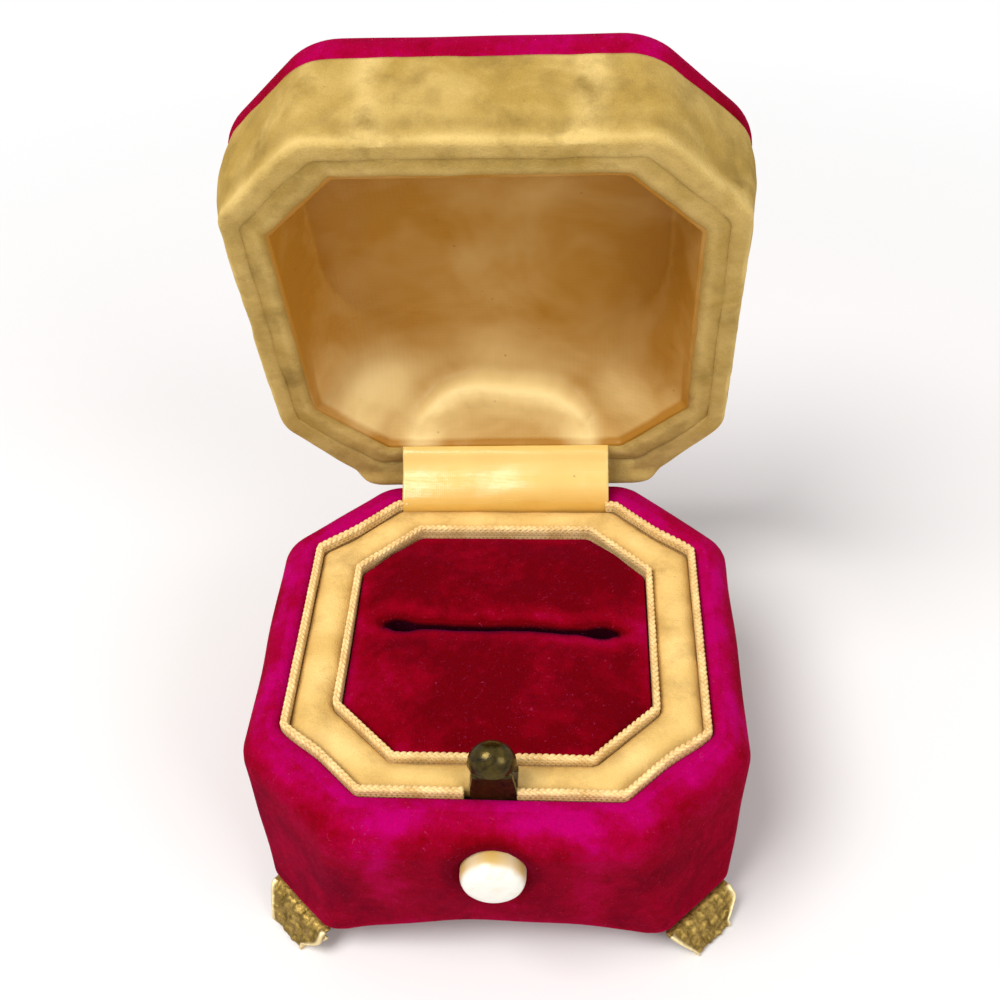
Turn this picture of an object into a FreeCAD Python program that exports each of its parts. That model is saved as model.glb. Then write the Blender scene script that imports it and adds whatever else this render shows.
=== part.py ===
import FreeCAD, Part

import math
import os
import re

import Sketcher

# Velvet ring box: a cut-corner base on four folded feet, a padded ring tray, a sprung lid,
# and a push button in the front wall that tilts the catch back and lets the lid go.
# X right, Y back, Z up. The origin is on the floor under the middle of the base.
# Lid pieces are drawn shut and then turned about the hinge pin to the open rest pose.

SIZES = {
    # base outline: half width over the flats, and the corner leg that the chamfer takes off
    "belly_half": 27.4,
    "belly_leg": 11.5,
    "belly_drop": 3.0,
    "rim_draw": 0.2,
    "rim_leg": 11.4,
    "bottom_draw": 1.6,
    "bottom_leg": 7.3,
    "rim_height": 24.3,
    "bottom_height": 3.8,
    "arch_rise": 2.5,
    "arch_half": 16.4,
    "shoulder": 2.2,
    "velvet": 0.8,
    "floor_wood": 2.4,
    # tray between the rim and the ring pad
    "rim_width": 4.8,
    "tray_leg": 8.5,
    "tray_recess": 0.5,
    "tray_pile": 0.9,
    "card": 1.2,
    "ledge_width": 2.6,
    "well_leg": 7.5,
    "braid_width": 1.4,
    "braid_proud": 0.45,
    "glue_gap": 0.05,
    "tray_width": 5.4,
    "inner_leg": 6.8,
    "tape": 0.9,
    "tape_proud": 0.3,
    # ring pad
    "pad_drop": 2.1,
    "pad_gap": 0.2,
    "pad_pile": 0.9,
    "pad_round": 0.7,
    "slot_length": 25.0,
    "slot_width": 1.0,
    "slot_depth": 8.0,
    "slot_shift": 1.3,
    # push button and catch
    "button_radius": 3.4,
    "button_drop": 5.6,
    "button_proud": 2.1,
    "button_round": 1.5,
    "button_travel": 0.8,
    "cap_length": 3.4,
    "stem_radius": 0.7,
    "running_gap": 0.05,
    "ferrule_wall": 0.42,
    "washer_radius": 1.1,
    "washer_thick": 0.4,
    "catch_half": 2.4,
    "catch_plate": 0.8,
    "catch_gap": 0.3,
    "catch_rise": 0.6,
    "catch_dome": 2.4,
    "lip_reach": 0.9,
    "pivot_rise": 1.5,
    "pivot_radius": 0.4,
    "eye_radius": 0.9,
    "mortise_length": 3.4,
    "mortise_gap": 0.1,
    "brass_sheet": 0.4,
    "bracket_tail": 1.4,
    "bracket_screw_inset": 1.2,
    "bracket_screw_head": 0.5,
    "spring_sheet": 0.3,
    "spring_inset": 0.3,
    "spring_tail": 1.2,
    # feet
    "foot_sheet": 0.5,
    "foot_splay": 2.8,
    "foot_sole": 0.7,
    "foot_flange": 4.4,
    "foot_top_half": 4.9,
    "foot_sole_half": 2.3,
    "foot_bow": 0.532,
    "nail_radius": 0.3,
    "nail_head": 0.6,
    "nail_length": 3.2,
    "nail_spare": 0.02,
    "nail_spread": 1.8,
    # lid, drawn shut
    "lid_gap": 0.3,
    "lid_proud": 0.2,
    "lid_leg": 10.0,
    "side_height": 11.2,
    "crown_proud": 0.4,
    "crown_lap": 0.1,
    "crown_leg": 10.8,
    "crown_height": 5.6,
    "crown_round": 2.4,
    "lid_wall": 3.6,
    "cavity_leg": 8.7,
    "lid_wood": 1.6,
    "collar_width": 1.4,
    "mouth_leg": 7.9,
    "collar_pile": 0.4,
    "collar_height": 3.1,
    "collar_lap": 0.5,
    "satin": 0.4,
    "satin_round": 3.0,
    "satin_drop": 1.2,
    "keeper_half": 3.6,
    "keeper_overlap": 0.3,
    "keeper_nail": 0.2,
    "keeper_nail_inset": 1.0,
    # spring hinge
    "hinge_proud": 0.5,
    "open_angle": 75.0,
    "barrel_radius": 1.1,
    "barrel_clear": 0.3,
    "pin_radius": 0.55,
    "hinge_half": 12.5,
    "knuckle": 4.2,
    "knuckle_gap": 0.2,
    "leaf_reach": 3.2,
    "leaf_clear": 0.15,
    "hinge_slot_gap": 0.3,
    "spring_wire": 0.2,
    "coil_pitch": 0.52,
    "screw_radius": 0.45,
    "screw_head": 0.8,
    "screw_head_thick": 0.25,
    "screw_length": 2.0,
    "screw_spread": 9.0,
    # ribbon over the hinge
    "ribbon_lap": 0.5,
    "ribbon_clear": 0.2,
    "ribbon_thick": 0.3,
    "ribbon_bulge": 0.5,
    # how far a cutting form runs past the face it opens
    "overrun": 1.0,
}

# Sizes that follow from the ones above, each written as a formula in its own cell
DERIVED = {
    "rim_half": "belly_half - rim_draw",
    "bottom_half": "belly_half - bottom_draw",
    "tray_half": "belly_half - rim_width",
    "well_half": "tray_half - ledge_width",
    "inner_half": "tray_half - tray_width",
    "lid_half": "belly_half + lid_proud",
    "crown_half": "lid_half + crown_proud",
    "cavity_half": "lid_half - lid_wall",
    "mouth_half": "cavity_half - collar_width",
    "collar_outer": "cavity_half + collar_lap",
    "hinge_setback": "belly_half + hinge_proud",
    "hinge_slot_half": "hinge_half + hinge_slot_gap",
    "ribbon_half": "hinge_half + ribbon_lap",
    "slot_back": "tray_half - mortise_length",
    "mortise_half": "catch_half + 2 * running_gap + brass_sheet + mortise_gap",
    "spring_half": "catch_half - spring_inset",
    "button_height": "rim_height - button_drop",
    "catch_top": "rim_height + lid_gap + collar_height + catch_rise",
}

doc = FreeCAD.newDocument("velvet_ring_box")
sheet = doc.addObject("Spreadsheet::Sheet", "sizes")
cells = {**{alias: str(number) for alias, number in SIZES.items()},
         **{alias: "=" + formula for alias, formula in DERIVED.items()}}
for row, (alias, entry) in enumerate(cells.items(), start=1):
    sheet.set("A%d" % row, alias)
    sheet.set("B%d" % row, entry)
    sheet.setAlias("B%d" % row, alias)
doc.recompute()

subparts = {}
CORNER = "(2 - sqrt(2))"
SHOULDER_STEPS = (0, 22.5, 45, 67.5, 90)
OUTLINE_SHARE = 0.9


def size(alias):
    return float(sheet.get(alias))


def bound(formula):
    """Sheet expression for a formula written in plain aliases."""
    return re.sub(r"[a-z_]+", lambda word: ("sizes." if word.group() in cells else "") + word.group(), formula)


def bind(item, **formulas):
    for prop, formula in formulas.items():
        item.setExpression(prop.replace("__", "."), bound(formula))
    return item


def keep(label, item):
    item.Label = label
    subparts[label] = item
    return item


def inset(half, leg, depth):
    """Half width and corner leg of an octagon moved inwards by depth on every side."""
    return "(%s) - (%s)" % (half, depth), "(%s) - %s * (%s)" % (leg, CORNER, depth)


# ---- PartDesign helpers ----

def originPlane(body, role):
    return next(feature for feature in body.Origin.OriginFeatures if feature.Role == role)


def placeSketch(body, name, role, offset):
    sketch = body.newObject("Sketcher::SketchObject", name)
    sketch.AttachmentSupport = [(originPlane(body, role), "")]
    sketch.MapMode = "FlatFace"
    bind(sketch, AttachmentOffset__Base__z=offset)
    return sketch


def drive(sketch, constraint, name, formula):
    index = sketch.addConstraint(constraint)
    sketch.renameConstraint(index, name)
    sketch.setExpression("Constraints." + name, bound(formula))


def closedLines(sketch, corners):
    points = [FreeCAD.Vector(x, y, 0) for x, y in corners]
    count = len(points)
    for index in range(count):
        sketch.addGeometry(Part.LineSegment(points[index], points[(index + 1) % count]), False)
    for index in range(count):
        sketch.addConstraint(Sketcher.Constraint("Coincident", index, 2, (index + 1) % count, 1))


def octagonSketch(body, name, half, leg, height):
    """Cut-corner square centred on the origin, level with the floor at the given height."""
    sketch = placeSketch(body, name, "XY_Plane", height)
    far = size("belly_half")
    near = far - size("belly_leg")
    closedLines(sketch, [(near, far), (far, near), (far, -near), (near, -far),
                         (-near, -far), (-far, -near), (-far, near), (-near, far)])
    right, front, left, back = 1, 3, 5, 7
    for line, axis in ((right, -1), (left, -1), (front, -2), (back, -2)):
        sketch.addConstraint(Sketcher.Constraint("Symmetric", line, 1, line, 2, axis))
    for line in (front, left, back):
        sketch.addConstraint(Sketcher.Constraint("Equal", right, line))
    drive(sketch, Sketcher.Constraint("DistanceX", -1, 1, right, 1, far), "right", half)
    drive(sketch, Sketcher.Constraint("DistanceX", left, 1, -1, 1, far), "left", half)
    drive(sketch, Sketcher.Constraint("DistanceY", -1, 1, back, 1, far), "back", half)
    drive(sketch, Sketcher.Constraint("DistanceY", front, 1, -1, 1, far), "front", half)
    flat = "2 * ((%s) - (%s))" % (half, leg)
    drive(sketch, Sketcher.Constraint("DistanceY", right, 2, right, 1, 2 * near), "flat", flat)
    return sketch


def boxSketch(body, name, height, west, east, south, north):
    """Rectangle on a level plane, given by the signed places of its four sides."""
    sketch = placeSketch(body, name, "XY_Plane", height)
    start = size("belly_half")
    closedLines(sketch, [(start, start), (start, -start), (-start, -start), (-start, start)])
    for line, kind in ((0, "Vertical"), (1, "Horizontal"), (2, "Vertical"), (3, "Horizontal")):
        sketch.addConstraint(Sketcher.Constraint(kind, line))
    drive(sketch, Sketcher.Constraint("DistanceX", -1, 1, 0, 1, start), "east", east)
    drive(sketch, Sketcher.Constraint("DistanceX", -1, 1, 2, 1, -start), "west", west)
    drive(sketch, Sketcher.Constraint("DistanceY", -1, 1, 0, 1, start), "north", north)
    drive(sketch, Sketcher.Constraint("DistanceY", -1, 1, 1, 1, -start), "south", south)
    return sketch


def loft(name, sections):
    """Body through level octagons, each given as half width, corner leg and height."""
    body = doc.addObject("PartDesign::Body", name)
    sketches = [octagonSketch(body, "%s_level%d" % (name, index), *section)
                for index, section in enumerate(sections)]
    solid = body.newObject("PartDesign::AdditiveLoft", name + "_loft")
    solid.Profile = sketches[0]
    solid.Sections = sketches[1:]
    solid.Ruled = True
    doc.recompute()
    return body


def slab(name, half, leg, low, high):
    """Straight-sided octagonal body between two heights."""
    body = doc.addObject("PartDesign::Body", name)
    pad = body.newObject("PartDesign::Pad", name + "_pad")
    pad.Profile = octagonSketch(body, name + "_outline", half, leg, low)
    bind(pad, Length="(%s) - (%s)" % (high, low))
    doc.recompute()
    return body


def shoulderSections(half, leg, top, radius):
    """Levels of a rounded rim: the octagon draws in round a quarter circle up to the top."""
    sections = []
    for degrees in SHOULDER_STEPS:
        drawIn = "(%s) * (1 - cos(%s deg))" % (radius, degrees)
        height = "(%s) - (%s) * (1 - sin(%s deg))" % (top, radius, degrees)
        sections.append((*inset(half, leg, drawIn), height))
    return sections


def sink(body, sketch, depth):
    """Pocket straight down from a level sketch."""
    before = body.Shape.Volume
    pocket = body.newObject("PartDesign::Pocket", sketch.Name + "_pocket")
    pocket.Profile = sketch
    bind(pocket, Length=depth)
    doc.recompute()
    assert body.Shape.Volume < before, sketch.Name + " cuts nothing"
    return pocket


def sinkOctagon(body, half, leg, top, depth):
    sink(body, octagonSketch(body, body.Name + "_hole", half, leg, top), depth)


def roundTop(body, radius):
    """Rounds the level edges round the outside of the highest face."""
    base = body.Tip
    whole = base.Shape.BoundBox
    reach = 0.5 * size("velvet")
    names = []
    for index, edge in enumerate(base.Shape.Edges, start=1):
        box = edge.BoundBox
        middle = edge.CenterOfMass
        outside = math.hypot(middle.x, middle.y) > OUTLINE_SHARE * whole.XMax
        if outside and box.ZMin > whole.ZMax - reach and box.ZLength < reach:
            names.append("Edge%d" % index)
    fillet = body.newObject("PartDesign::Fillet", body.Name + "_round")
    fillet.Base = (base, names)
    bind(fillet, Radius=radius)
    doc.recompute()
    return fillet


# ---- Part workbench helpers ----

def box(name, west, east, south, north, low, high):
    item = doc.addObject("Part::Box", name)
    bind(item, Length="(%s) - (%s)" % (east, west), Width="(%s) - (%s)" % (north, south))
    bind(item, Height="(%s) - (%s)" % (high, low), Placement__Base__x=west)
    return bind(item, Placement__Base__y=south, Placement__Base__z=low)


def rod(name, radius, start, end, axis, across=("0", "0")):
    """Cylinder along X, Y or Z between two signed places, at the two other coordinates."""
    item = doc.addObject("Part::Cylinder", name)
    turn = {"x": (FreeCAD.Vector(0, 1, 0), 90), "y": (FreeCAD.Vector(1, 0, 0), -90), "z": (FreeCAD.Vector(0, 0, 1), 0)}
    item.Placement = FreeCAD.Placement(FreeCAD.Vector(), FreeCAD.Rotation(*turn[axis]))
    bind(item, Radius=radius, Height="(%s) - (%s)" % (end, start))
    first, second = [letter for letter in "xyz" if letter != axis]
    places = {axis: start, first: across[0], second: across[1]}
    return bind(item, **{"Placement__Base__" + letter: place for letter, place in places.items()})


def cut(name, base, *tools):
    for index, tool in enumerate(tools):
        item = doc.addObject("Part::Cut", name if index == len(tools) - 1 else "%s_cut%d" % (name, index))
        item.Base = base
        item.Tool = tool
        base = item
    return base


def fuse(name, *shapes):
    item = doc.addObject("Part::MultiFuse", name)
    item.Shapes = list(shapes)
    item.Refine = True
    return item


def common(name, base, tool):
    item = doc.addObject("Part::Common", name)
    item.Base = base
    item.Tool = tool
    return item


def group(name, items):
    item = doc.addObject("Part::Compound", name)
    item.Links = list(items)
    return item


# ---- Levels and lines that several pieces share ----

SHELL_BOTTOM = "bottom_height + velvet"
SHELL_TOP = "rim_height - velvet"
BELLY = "rim_height - belly_drop"
FLOOR = "bottom_height + velvet + arch_rise + floor_wood"
TRAY_TOP = "rim_height - tray_recess"
CARD_TOP = "rim_height - tray_recess - tray_pile"
LEDGE = "rim_height - tray_recess - tray_pile - card"
PAD_TOP = "rim_height - pad_drop"
LID_BOTTOM = "rim_height + lid_gap"
LID_SHELL = "rim_height + lid_gap + velvet"
COLLAR_TOP = "rim_height + lid_gap + collar_height"
LID_TOP = "rim_height + lid_gap + side_height"
HINGE_HEIGHT = "rim_height + 0.5 * lid_gap"
CATCH_FRONT = "catch_gap - tray_half"
CATCH_MIDDLE = "catch_gap - tray_half + 0.5 * catch_plate"
CATCH_BACK = "catch_gap - tray_half + catch_plate"
PIVOT = FLOOR + " + pivot_rise"
BUTTON_FACE = "-(bottom_half + (belly_half - bottom_half) * (button_height - bottom_height)" \
              " / (rim_height - belly_drop - bottom_height))"
CAP_FRONT = BUTTON_FACE + " - button_proud"
CAP_BACK = CAP_FRONT + " + cap_length"
CUP_BACK = CAP_BACK + " + button_travel + running_gap + ferrule_wall"
CUP_FRONT = CAP_BACK + " + running_gap"
STEM_END = CATCH_FRONT + " - running_gap"
WASHER_BACK = STEM_END + " - 0.5 * washer_thick"
WASHER_FRONT = WASHER_BACK + " - washer_thick"
WASHER_SEAT = WASHER_FRONT + " - running_gap"


# ---- Base: wooden shell, velvet, lining ----

def archTool(name, axis, lift):
    """Long low cylinder under the base whose top is the arch between two feet."""
    radius = "((arch_half ^ 2 + arch_rise ^ 2) / (2 * arch_rise)"
    height = "bottom_height + arch_rise - " + radius + ")"
    return rod(name, radius + " + %s)" % lift, "-2 * belly_half", "2 * belly_half", axis, ("0", height))


barrelSlot = rod("barrel_slot", "barrel_radius + barrel_clear", "-hinge_slot_half", "hinge_slot_half", "x",
                 ("hinge_setback", HINGE_HEIGHT))
outerArches = [archTool("outer_arch_x", "x", "0"), archTool("outer_arch_y", "y", "0")]
shellArches = [archTool("shell_arch_x", "x", "velvet"), archTool("shell_arch_y", "y", "velvet")]

outerForm = loft("base_form", [("bottom_half", "bottom_leg", "bottom_height"),
                               ("belly_half", "belly_leg", BELLY),
                               *shoulderSections("rim_half", "rim_leg", "rim_height", "shoulder")])
shellForm = loft("shell_form", [(*inset("bottom_half", "bottom_leg", "velvet"), SHELL_BOTTOM),
                                (*inset("belly_half", "belly_leg", "velvet"), BELLY),
                                *shoulderSections(*inset("rim_half", "rim_leg", "velvet"), SHELL_TOP,
                                                  "shoulder - velvet")])

hollow = slab("base_hollow", "well_half", "well_leg", FLOOR, LEDGE)
trayRecess = slab("tray_recess_form", "tray_half", "tray_leg", LEDGE, "rim_height + overrun")
mortise = box("mortise", "-mortise_half", "mortise_half", "0.25 * catch_gap + " + CATCH_FRONT + " - catch_gap",
              "-slot_back", FLOOR, "rim_height + overrun")
eyePocket = box("eye_pocket", "-mortise_half", "mortise_half", CATCH_MIDDLE + " - eye_radius - catch_gap",
                "-slot_back", FLOOR, "button_height")
AXIS_OF_BUTTON = ("0", "button_height")
cupBore = rod("cup_bore", "button_radius + running_gap + ferrule_wall", CAP_FRONT, CUP_BACK, "y", AXIS_OF_BUTTON)
stemBore = rod("stem_bore", "stem_radius + 2 * running_gap", CUP_FRONT, "-well_half", "y", AXIS_OF_BUTTON)
washerBore = rod("washer_bore", "washer_radius + 4 * running_gap", WASHER_SEAT, "-well_half", "y", AXIS_OF_BUTTON)


# ---- Fasteners ----

def screws(name, places, seat, along, head):
    """Round-head screws that stand on a level seat; along is 1 upwards and -1 downwards."""
    pieces = []
    for index, (x, y) in enumerate(places):
        low, high = ("%s - screw_length" % seat, seat) if along < 0 else (seat, "%s + screw_length" % seat)
        shank = rod("%s_shank%d" % (name, index), "screw_radius", low, high, "z", (x, y))
        low, high = (seat, "%s + %s" % (seat, head)) if along < 0 else ("%s - %s" % (seat, head), seat)
        cap = rod("%s_head%d" % (name, index), "screw_head", low, high, "z", (x, y))
        pieces.append(fuse("%s_%d" % (name, index), shank, cap))
    return group(name, pieces)


LEAF_BOTTOM = SHELL_TOP
LEAF_TOP = SHELL_TOP + " + brass_sheet"
LID_LEAF_TOP = LID_SHELL
LID_LEAF_BOTTOM = LID_SHELL + " - brass_sheet"
LEAF_BACK = "hinge_setback - barrel_radius - leaf_clear"
LEAF_FRONT = "hinge_setback - barrel_radius - leaf_clear - leaf_reach"
SCREW_LINE = "hinge_setback - barrel_radius - leaf_clear - 0.5 * leaf_reach"
screwPlaces = [(x, SCREW_LINE) for x in ("-screw_spread", "0", "screw_spread")]
baseScrews = screws("base_hinge_screws", screwPlaces, LEAF_TOP, -1, "screw_head_thick")
keep("base_hinge_screws", baseScrews)

BRACKET_TOP = FLOOR + " + brass_sheet"
SPRING_TOP = BRACKET_TOP + " + spring_sheet"
BRACKET_BACK = "-slot_back + bracket_tail"
BRACKET_SCREW_LINE = BRACKET_BACK + " - bracket_screw_inset"
bracketScrews = screws("bracket_screws", [("-0.5 * mortise_half", BRACKET_SCREW_LINE),
                                         ("0.5 * mortise_half", BRACKET_SCREW_LINE)], SPRING_TOP, -1,
                       "bracket_screw_head")
keep("bracket_screws", bracketScrews)

# ---- Feet: folded sheet in a V, its flange nailed under each corner ----

FOOT_ANGLES = {"foot_front_right": -45, "foot_front_left": -135, "foot_rear_right": 45, "foot_rear_left": 135}


def chamferMiddle():
    """Distance from the middle of the base to the bottom edge of a cut corner."""
    return (2 * size("bottom_half") - size("bottom_leg")) / math.sqrt(2)


def footSection():
    """V section across the cut corner: d runs outwards, z up, the fold is the sole."""
    top, sheetThick, splay, sole = (size(name) for name in ("bottom_height", "foot_sheet", "foot_splay", "foot_sole"))
    flange = size("foot_flange")
    under = top - sheetThick
    lip = sheetThick
    innerTop = splay - sole - under
    outline = [(-flange, top), (lip, top), (splay, 0), (splay - sole, 0), (innerTop, under), (-flange, under)]
    wall = sheetThick * math.sqrt(2)
    slope = (splay - lip) / top
    outer = lip - sheetThick * math.hypot(1, slope) + slope * sheetThick
    meet = (splay - sole + wall - outer - slope * under) / (1 - slope)
    hollowPart = [(innerTop + wall, under), (outer, under), (splay - sole + wall - meet, meet)]
    return outline, hollowPart


def prism(points, length):
    """Section points (d, z) pushed out to half the length on both sides along the corner."""
    wire = Part.makePolygon([FreeCAD.Vector(d, -length / 2, z) for d, z in points + points[:1]])
    return Part.Face(wire).extrude(FreeCAD.Vector(0, length, 0))


def footSide():
    """Side view of a foot: wide under the velvet, narrow at the sole, with bowed ends."""
    top, wide, narrow = size("bottom_height"), size("foot_top_half"), size("foot_sole_half")
    bow = size("foot_bow")
    corners = [FreeCAD.Vector(0, side * reach, z) for side, reach, z in
               ((-1, wide, top), (-1, narrow, 0), (1, narrow, 0), (1, wide, top))]
    middles = [FreeCAD.Vector(0, side * ((wide + narrow) / 2 + bow), top / 2 - bow) for side in (-1, 1)]
    edges = [Part.Arc(corners[0], middles[0], corners[1]).toShape(),
             Part.makeLine(corners[1], corners[2]),
             Part.Arc(corners[2], middles[1], corners[3]).toShape(),
             Part.makeLine(corners[3], corners[0])]
    reach = 4 * size("foot_flange")
    face = Part.Face(Part.Wire(edges))
    face.translate(FreeCAD.Vector(-reach / 2, 0, 0))
    return face.extrude(FreeCAD.Vector(reach, 0, 0))


def nailPlaces():
    """Two nails through each flange, either side of the corner's middle line."""
    inward = -0.5 * size("foot_flange")
    return [(inward, side * size("nail_spread")) for side in (-1, 1)]


def nailSolid(spare):
    """Both nails of one foot in its own frame; spare widens them for the holes."""
    under = size("bottom_height") - size("foot_sheet")
    headThick = size("nail_radius")
    solids = []
    for d, along in nailPlaces():
        shank = Part.makeCylinder(size("nail_radius") + spare, size("nail_length"), FreeCAD.Vector(d, along, under))
        head = Part.makeCylinder(size("nail_head") + spare, headThick, FreeCAD.Vector(d, along, under - headThick))
        solids.append(shank.fuse(head).removeSplitter())
    return solids


def cornerPlacement(angle):
    turn = FreeCAD.Rotation(FreeCAD.Vector(0, 0, 1), angle)
    return FreeCAD.Placement(turn.multVec(FreeCAD.Vector(chamferMiddle(), 0, 0)), turn)


outlinePoints, hollowPoints = footSection()
footLength = 3 * size("foot_top_half")
footBlank = prism(outlinePoints, footLength).cut(prism(hollowPoints, footLength))
footTrim = Part.makeBox(footLength, footLength, footLength, FreeCAD.Vector(0, 0, -footLength / 2))
footTrim.rotate(FreeCAD.Vector(), FreeCAD.Vector(0, 0, 1), -45)
cornerDepth = size("bottom_leg") / math.sqrt(2)
footTrim.translate(FreeCAD.Vector(-cornerDepth + 2 * size("glue_gap"), 0, 0))
footShape = footBlank.common(footSide()).common(footTrim)
for solid in nailSolid(size("nail_spare")):
    footShape = footShape.cut(solid)
for label, angle in FOOT_ANGLES.items():
    foot = doc.addObject("Part::Feature", label)
    foot.Shape = footShape.removeSplitter()
    foot.Placement = cornerPlacement(angle)
    keep(label, foot)


def nailSet(name, spare):
    solids = []
    for angle in FOOT_ANGLES.values():
        for solid in nailSolid(spare):
            moved = solid.copy()
            moved.Placement = cornerPlacement(angle).multiply(moved.Placement)
            solids.append(moved)
    item = doc.addObject("Part::Feature", name)
    item.Shape = Part.makeCompound(solids)
    return item


keep("foot_nails", nailSet("foot_nails", 0))
nailHoles = nailSet("nail_holes", size("nail_spare"))

shellBlank = cut("base_shell", shellForm, *shellArches, hollow, trayRecess, mortise, eyePocket, cupBore,
                 stemBore, washerBore, barrelSlot, baseScrews, bracketScrews, nailHoles)
keep("base_shell", shellBlank)

liningColumn = slab("lining_column", "well_half", "well_leg", "0", FLOOR)
buttonHole = rod("button_hole", "button_radius + 2 * running_gap", CAP_FRONT, CUP_BACK, "y", AXIS_OF_BUTTON)
hingeSlot = box("hinge_slot", "-hinge_slot_half", "hinge_slot_half", "tray_half - overrun", "belly_half + 3 * overrun",
                SHELL_TOP, "rim_height + overrun")
skinBlank = cut("base_skin", outerForm, *outerArches, cut("shell_envelope", shellForm, *shellArches))
velvetSkin = cut("base_velvet", skinBlank, trayRecess, liningColumn, buttonHole, hingeSlot, barrelSlot, baseScrews,
                 nailHoles)
keep("base_velvet", velvetSkin)
liningInset = slab("lining_inset", *inset("well_half", "well_leg", "glue_gap"), "0", FLOOR)
keep("base_bottom_lining", common("base_bottom_lining", skinBlank, liningInset))


# ---- Tray, braids and ring pad ----

def catchSlot(name, low, high):
    return box(name, "-catch_half - 4 * running_gap", "catch_half + 4 * running_gap", "-belly_half", "-slot_back",
               low, high)


def ring(name, outer, inner, low, high):
    body = slab(name, *outer, low, high)
    sinkOctagon(body, *inner, high, "(%s) - (%s)" % (high, low))
    return body


TAPE_OUTER = ("inner_half + tape", "inner_leg + %s * tape" % CORNER)
trayOutline = inset("tray_half", "tray_leg", "glue_gap")
trayMouth = inset(*TAPE_OUTER, "-glue_gap")
trayCard = ring("tray_card_ring", trayOutline, trayMouth, LEDGE, CARD_TOP)
keep("tray_card", cut("tray_card", trayCard, catchSlot("card_slot", LEDGE, CARD_TOP)))
trayPile = ring("tray_velvet_ring", trayOutline, trayMouth, CARD_TOP, TRAY_TOP)
keep("tray_velvet", cut("tray_velvet", trayPile, catchSlot("pile_slot", CARD_TOP, TRAY_TOP)))
BRAID_TOP = "rim_height + braid_proud"
outerBraid = ring("outer_braid_ring", trayOutline, inset(*trayOutline, "braid_width"), TRAY_TOP, BRAID_TOP)
keep("outer_braid", cut("outer_braid", outerBraid, catchSlot("braid_slot", TRAY_TOP, BRAID_TOP)))
keep("inner_braid", ring("inner_braid", TAPE_OUTER, ("inner_half", "inner_leg"), LEDGE, "rim_height + tape_proud"))

PAD_OUTLINE = inset("inner_half", "inner_leg", "pad_gap")
BOARD_TOP = FLOOR + " + card"
WADDING_TOP = PAD_TOP + " - pad_pile"


def padSlot(body, width, top, depth):
    sketch = boxSketch(body, body.Name + "_slit", top, "-0.5 * slot_length", "0.5 * slot_length",
                       "slot_shift - 0.5 * (%s)" % width, "slot_shift + 0.5 * (%s)" % width)
    sink(body, sketch, depth)


padVelvet = slab("ring_pad_velvet", *PAD_OUTLINE, WADDING_TOP, PAD_TOP)
padSlot(padVelvet, "slot_width", PAD_TOP, "pad_pile")
roundTop(padVelvet, "pad_round")
keep("ring_pad_velvet", padVelvet)
padWadding = slab("ring_pad_wadding", *PAD_OUTLINE, BOARD_TOP, WADDING_TOP)
padSlot(padWadding, "slot_width + pad_pile", WADDING_TOP, "slot_depth")
keep("ring_pad_wadding", padWadding)
keep("ring_pad_board", slab("ring_pad_board", *PAD_OUTLINE, FLOOR, BOARD_TOP))

# ---- Push button ----

capBlank = rod("cap_blank", "button_radius", CAP_FRONT, CAP_BACK, "y", AXIS_OF_BUTTON)
doc.recompute()
capFront = min(range(len(capBlank.Shape.Edges)), key=lambda index: capBlank.Shape.Edges[index].BoundBox.YMax)
cap = doc.addObject("Part::Fillet", "button_cap")
cap.Base = capBlank
cap.Edges = [(capFront + 1, size("button_round"), size("button_round"))]
keep("button_cap", cap)
keep("button_stem", rod("button_stem", "stem_radius", CAP_BACK, STEM_END, "y", AXIS_OF_BUTTON))
washer = rod("washer_blank", "washer_radius", WASHER_FRONT, WASHER_BACK, "y", AXIS_OF_BUTTON)
keep("stem_washer", cut("stem_washer", washer, subparts["button_stem"]))
cup = rod("cup_blank", "button_radius + running_gap + ferrule_wall", CUP_FRONT, CUP_BACK, "y", AXIS_OF_BUTTON)
cupInside = rod("cup_inside", "button_radius + running_gap", CAP_FRONT, CUP_BACK + " - ferrule_wall", "y",
                AXIS_OF_BUTTON)
cupHole = rod("cup_hole", "stem_radius + running_gap", CUP_FRONT, "-well_half", "y", AXIS_OF_BUTTON)
keep("button_ferrule", cut("button_ferrule", cup, cupInside, cupHole))

# ---- Catch: a domed brass tongue on a pin, its lip over the keeper of the shut lid ----

PIVOT_LINE = (CATCH_MIDDLE, PIVOT)
tongue = box("catch_tongue", "-catch_half", "catch_half", CATCH_FRONT, CATCH_BACK, PIVOT, "catch_top")
eye = rod("catch_eye", "eye_radius", "-catch_half", "catch_half", "x", PIVOT_LINE)
dome = doc.addObject("Part::Ellipsoid", "catch_head")
dome.Angle1 = 0
bind(dome, Radius1="catch_dome", Radius2="catch_half", Radius3="catch_dome", Placement__Base__z="catch_top")
bind(dome, Placement__Base__y=CATCH_FRONT + " - lip_reach + catch_dome")
pinBore = rod("pivot_bore", "pivot_radius + running_gap", "-belly_half", "belly_half", "x", PIVOT_LINE)
keep("catch_lever", cut("catch_lever", fuse("catch_blank", tongue, eye, dome), pinBore))
CHEEK = "catch_half + 2 * running_gap"
BRACKET_FRONT = CATCH_FRONT + " - running_gap"
pivotPin = rod("catch_pivot_pin", "pivot_radius", "-(%s) - brass_sheet" % CHEEK, CHEEK + " + brass_sheet", "x",
               PIVOT_LINE)
keep("catch_pivot_pin", pivotPin)
bracketBase = box("bracket_base", "-(%s) - brass_sheet" % CHEEK, CHEEK + " + brass_sheet", BRACKET_FRONT,
                  BRACKET_BACK, FLOOR, BRACKET_TOP)
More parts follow.
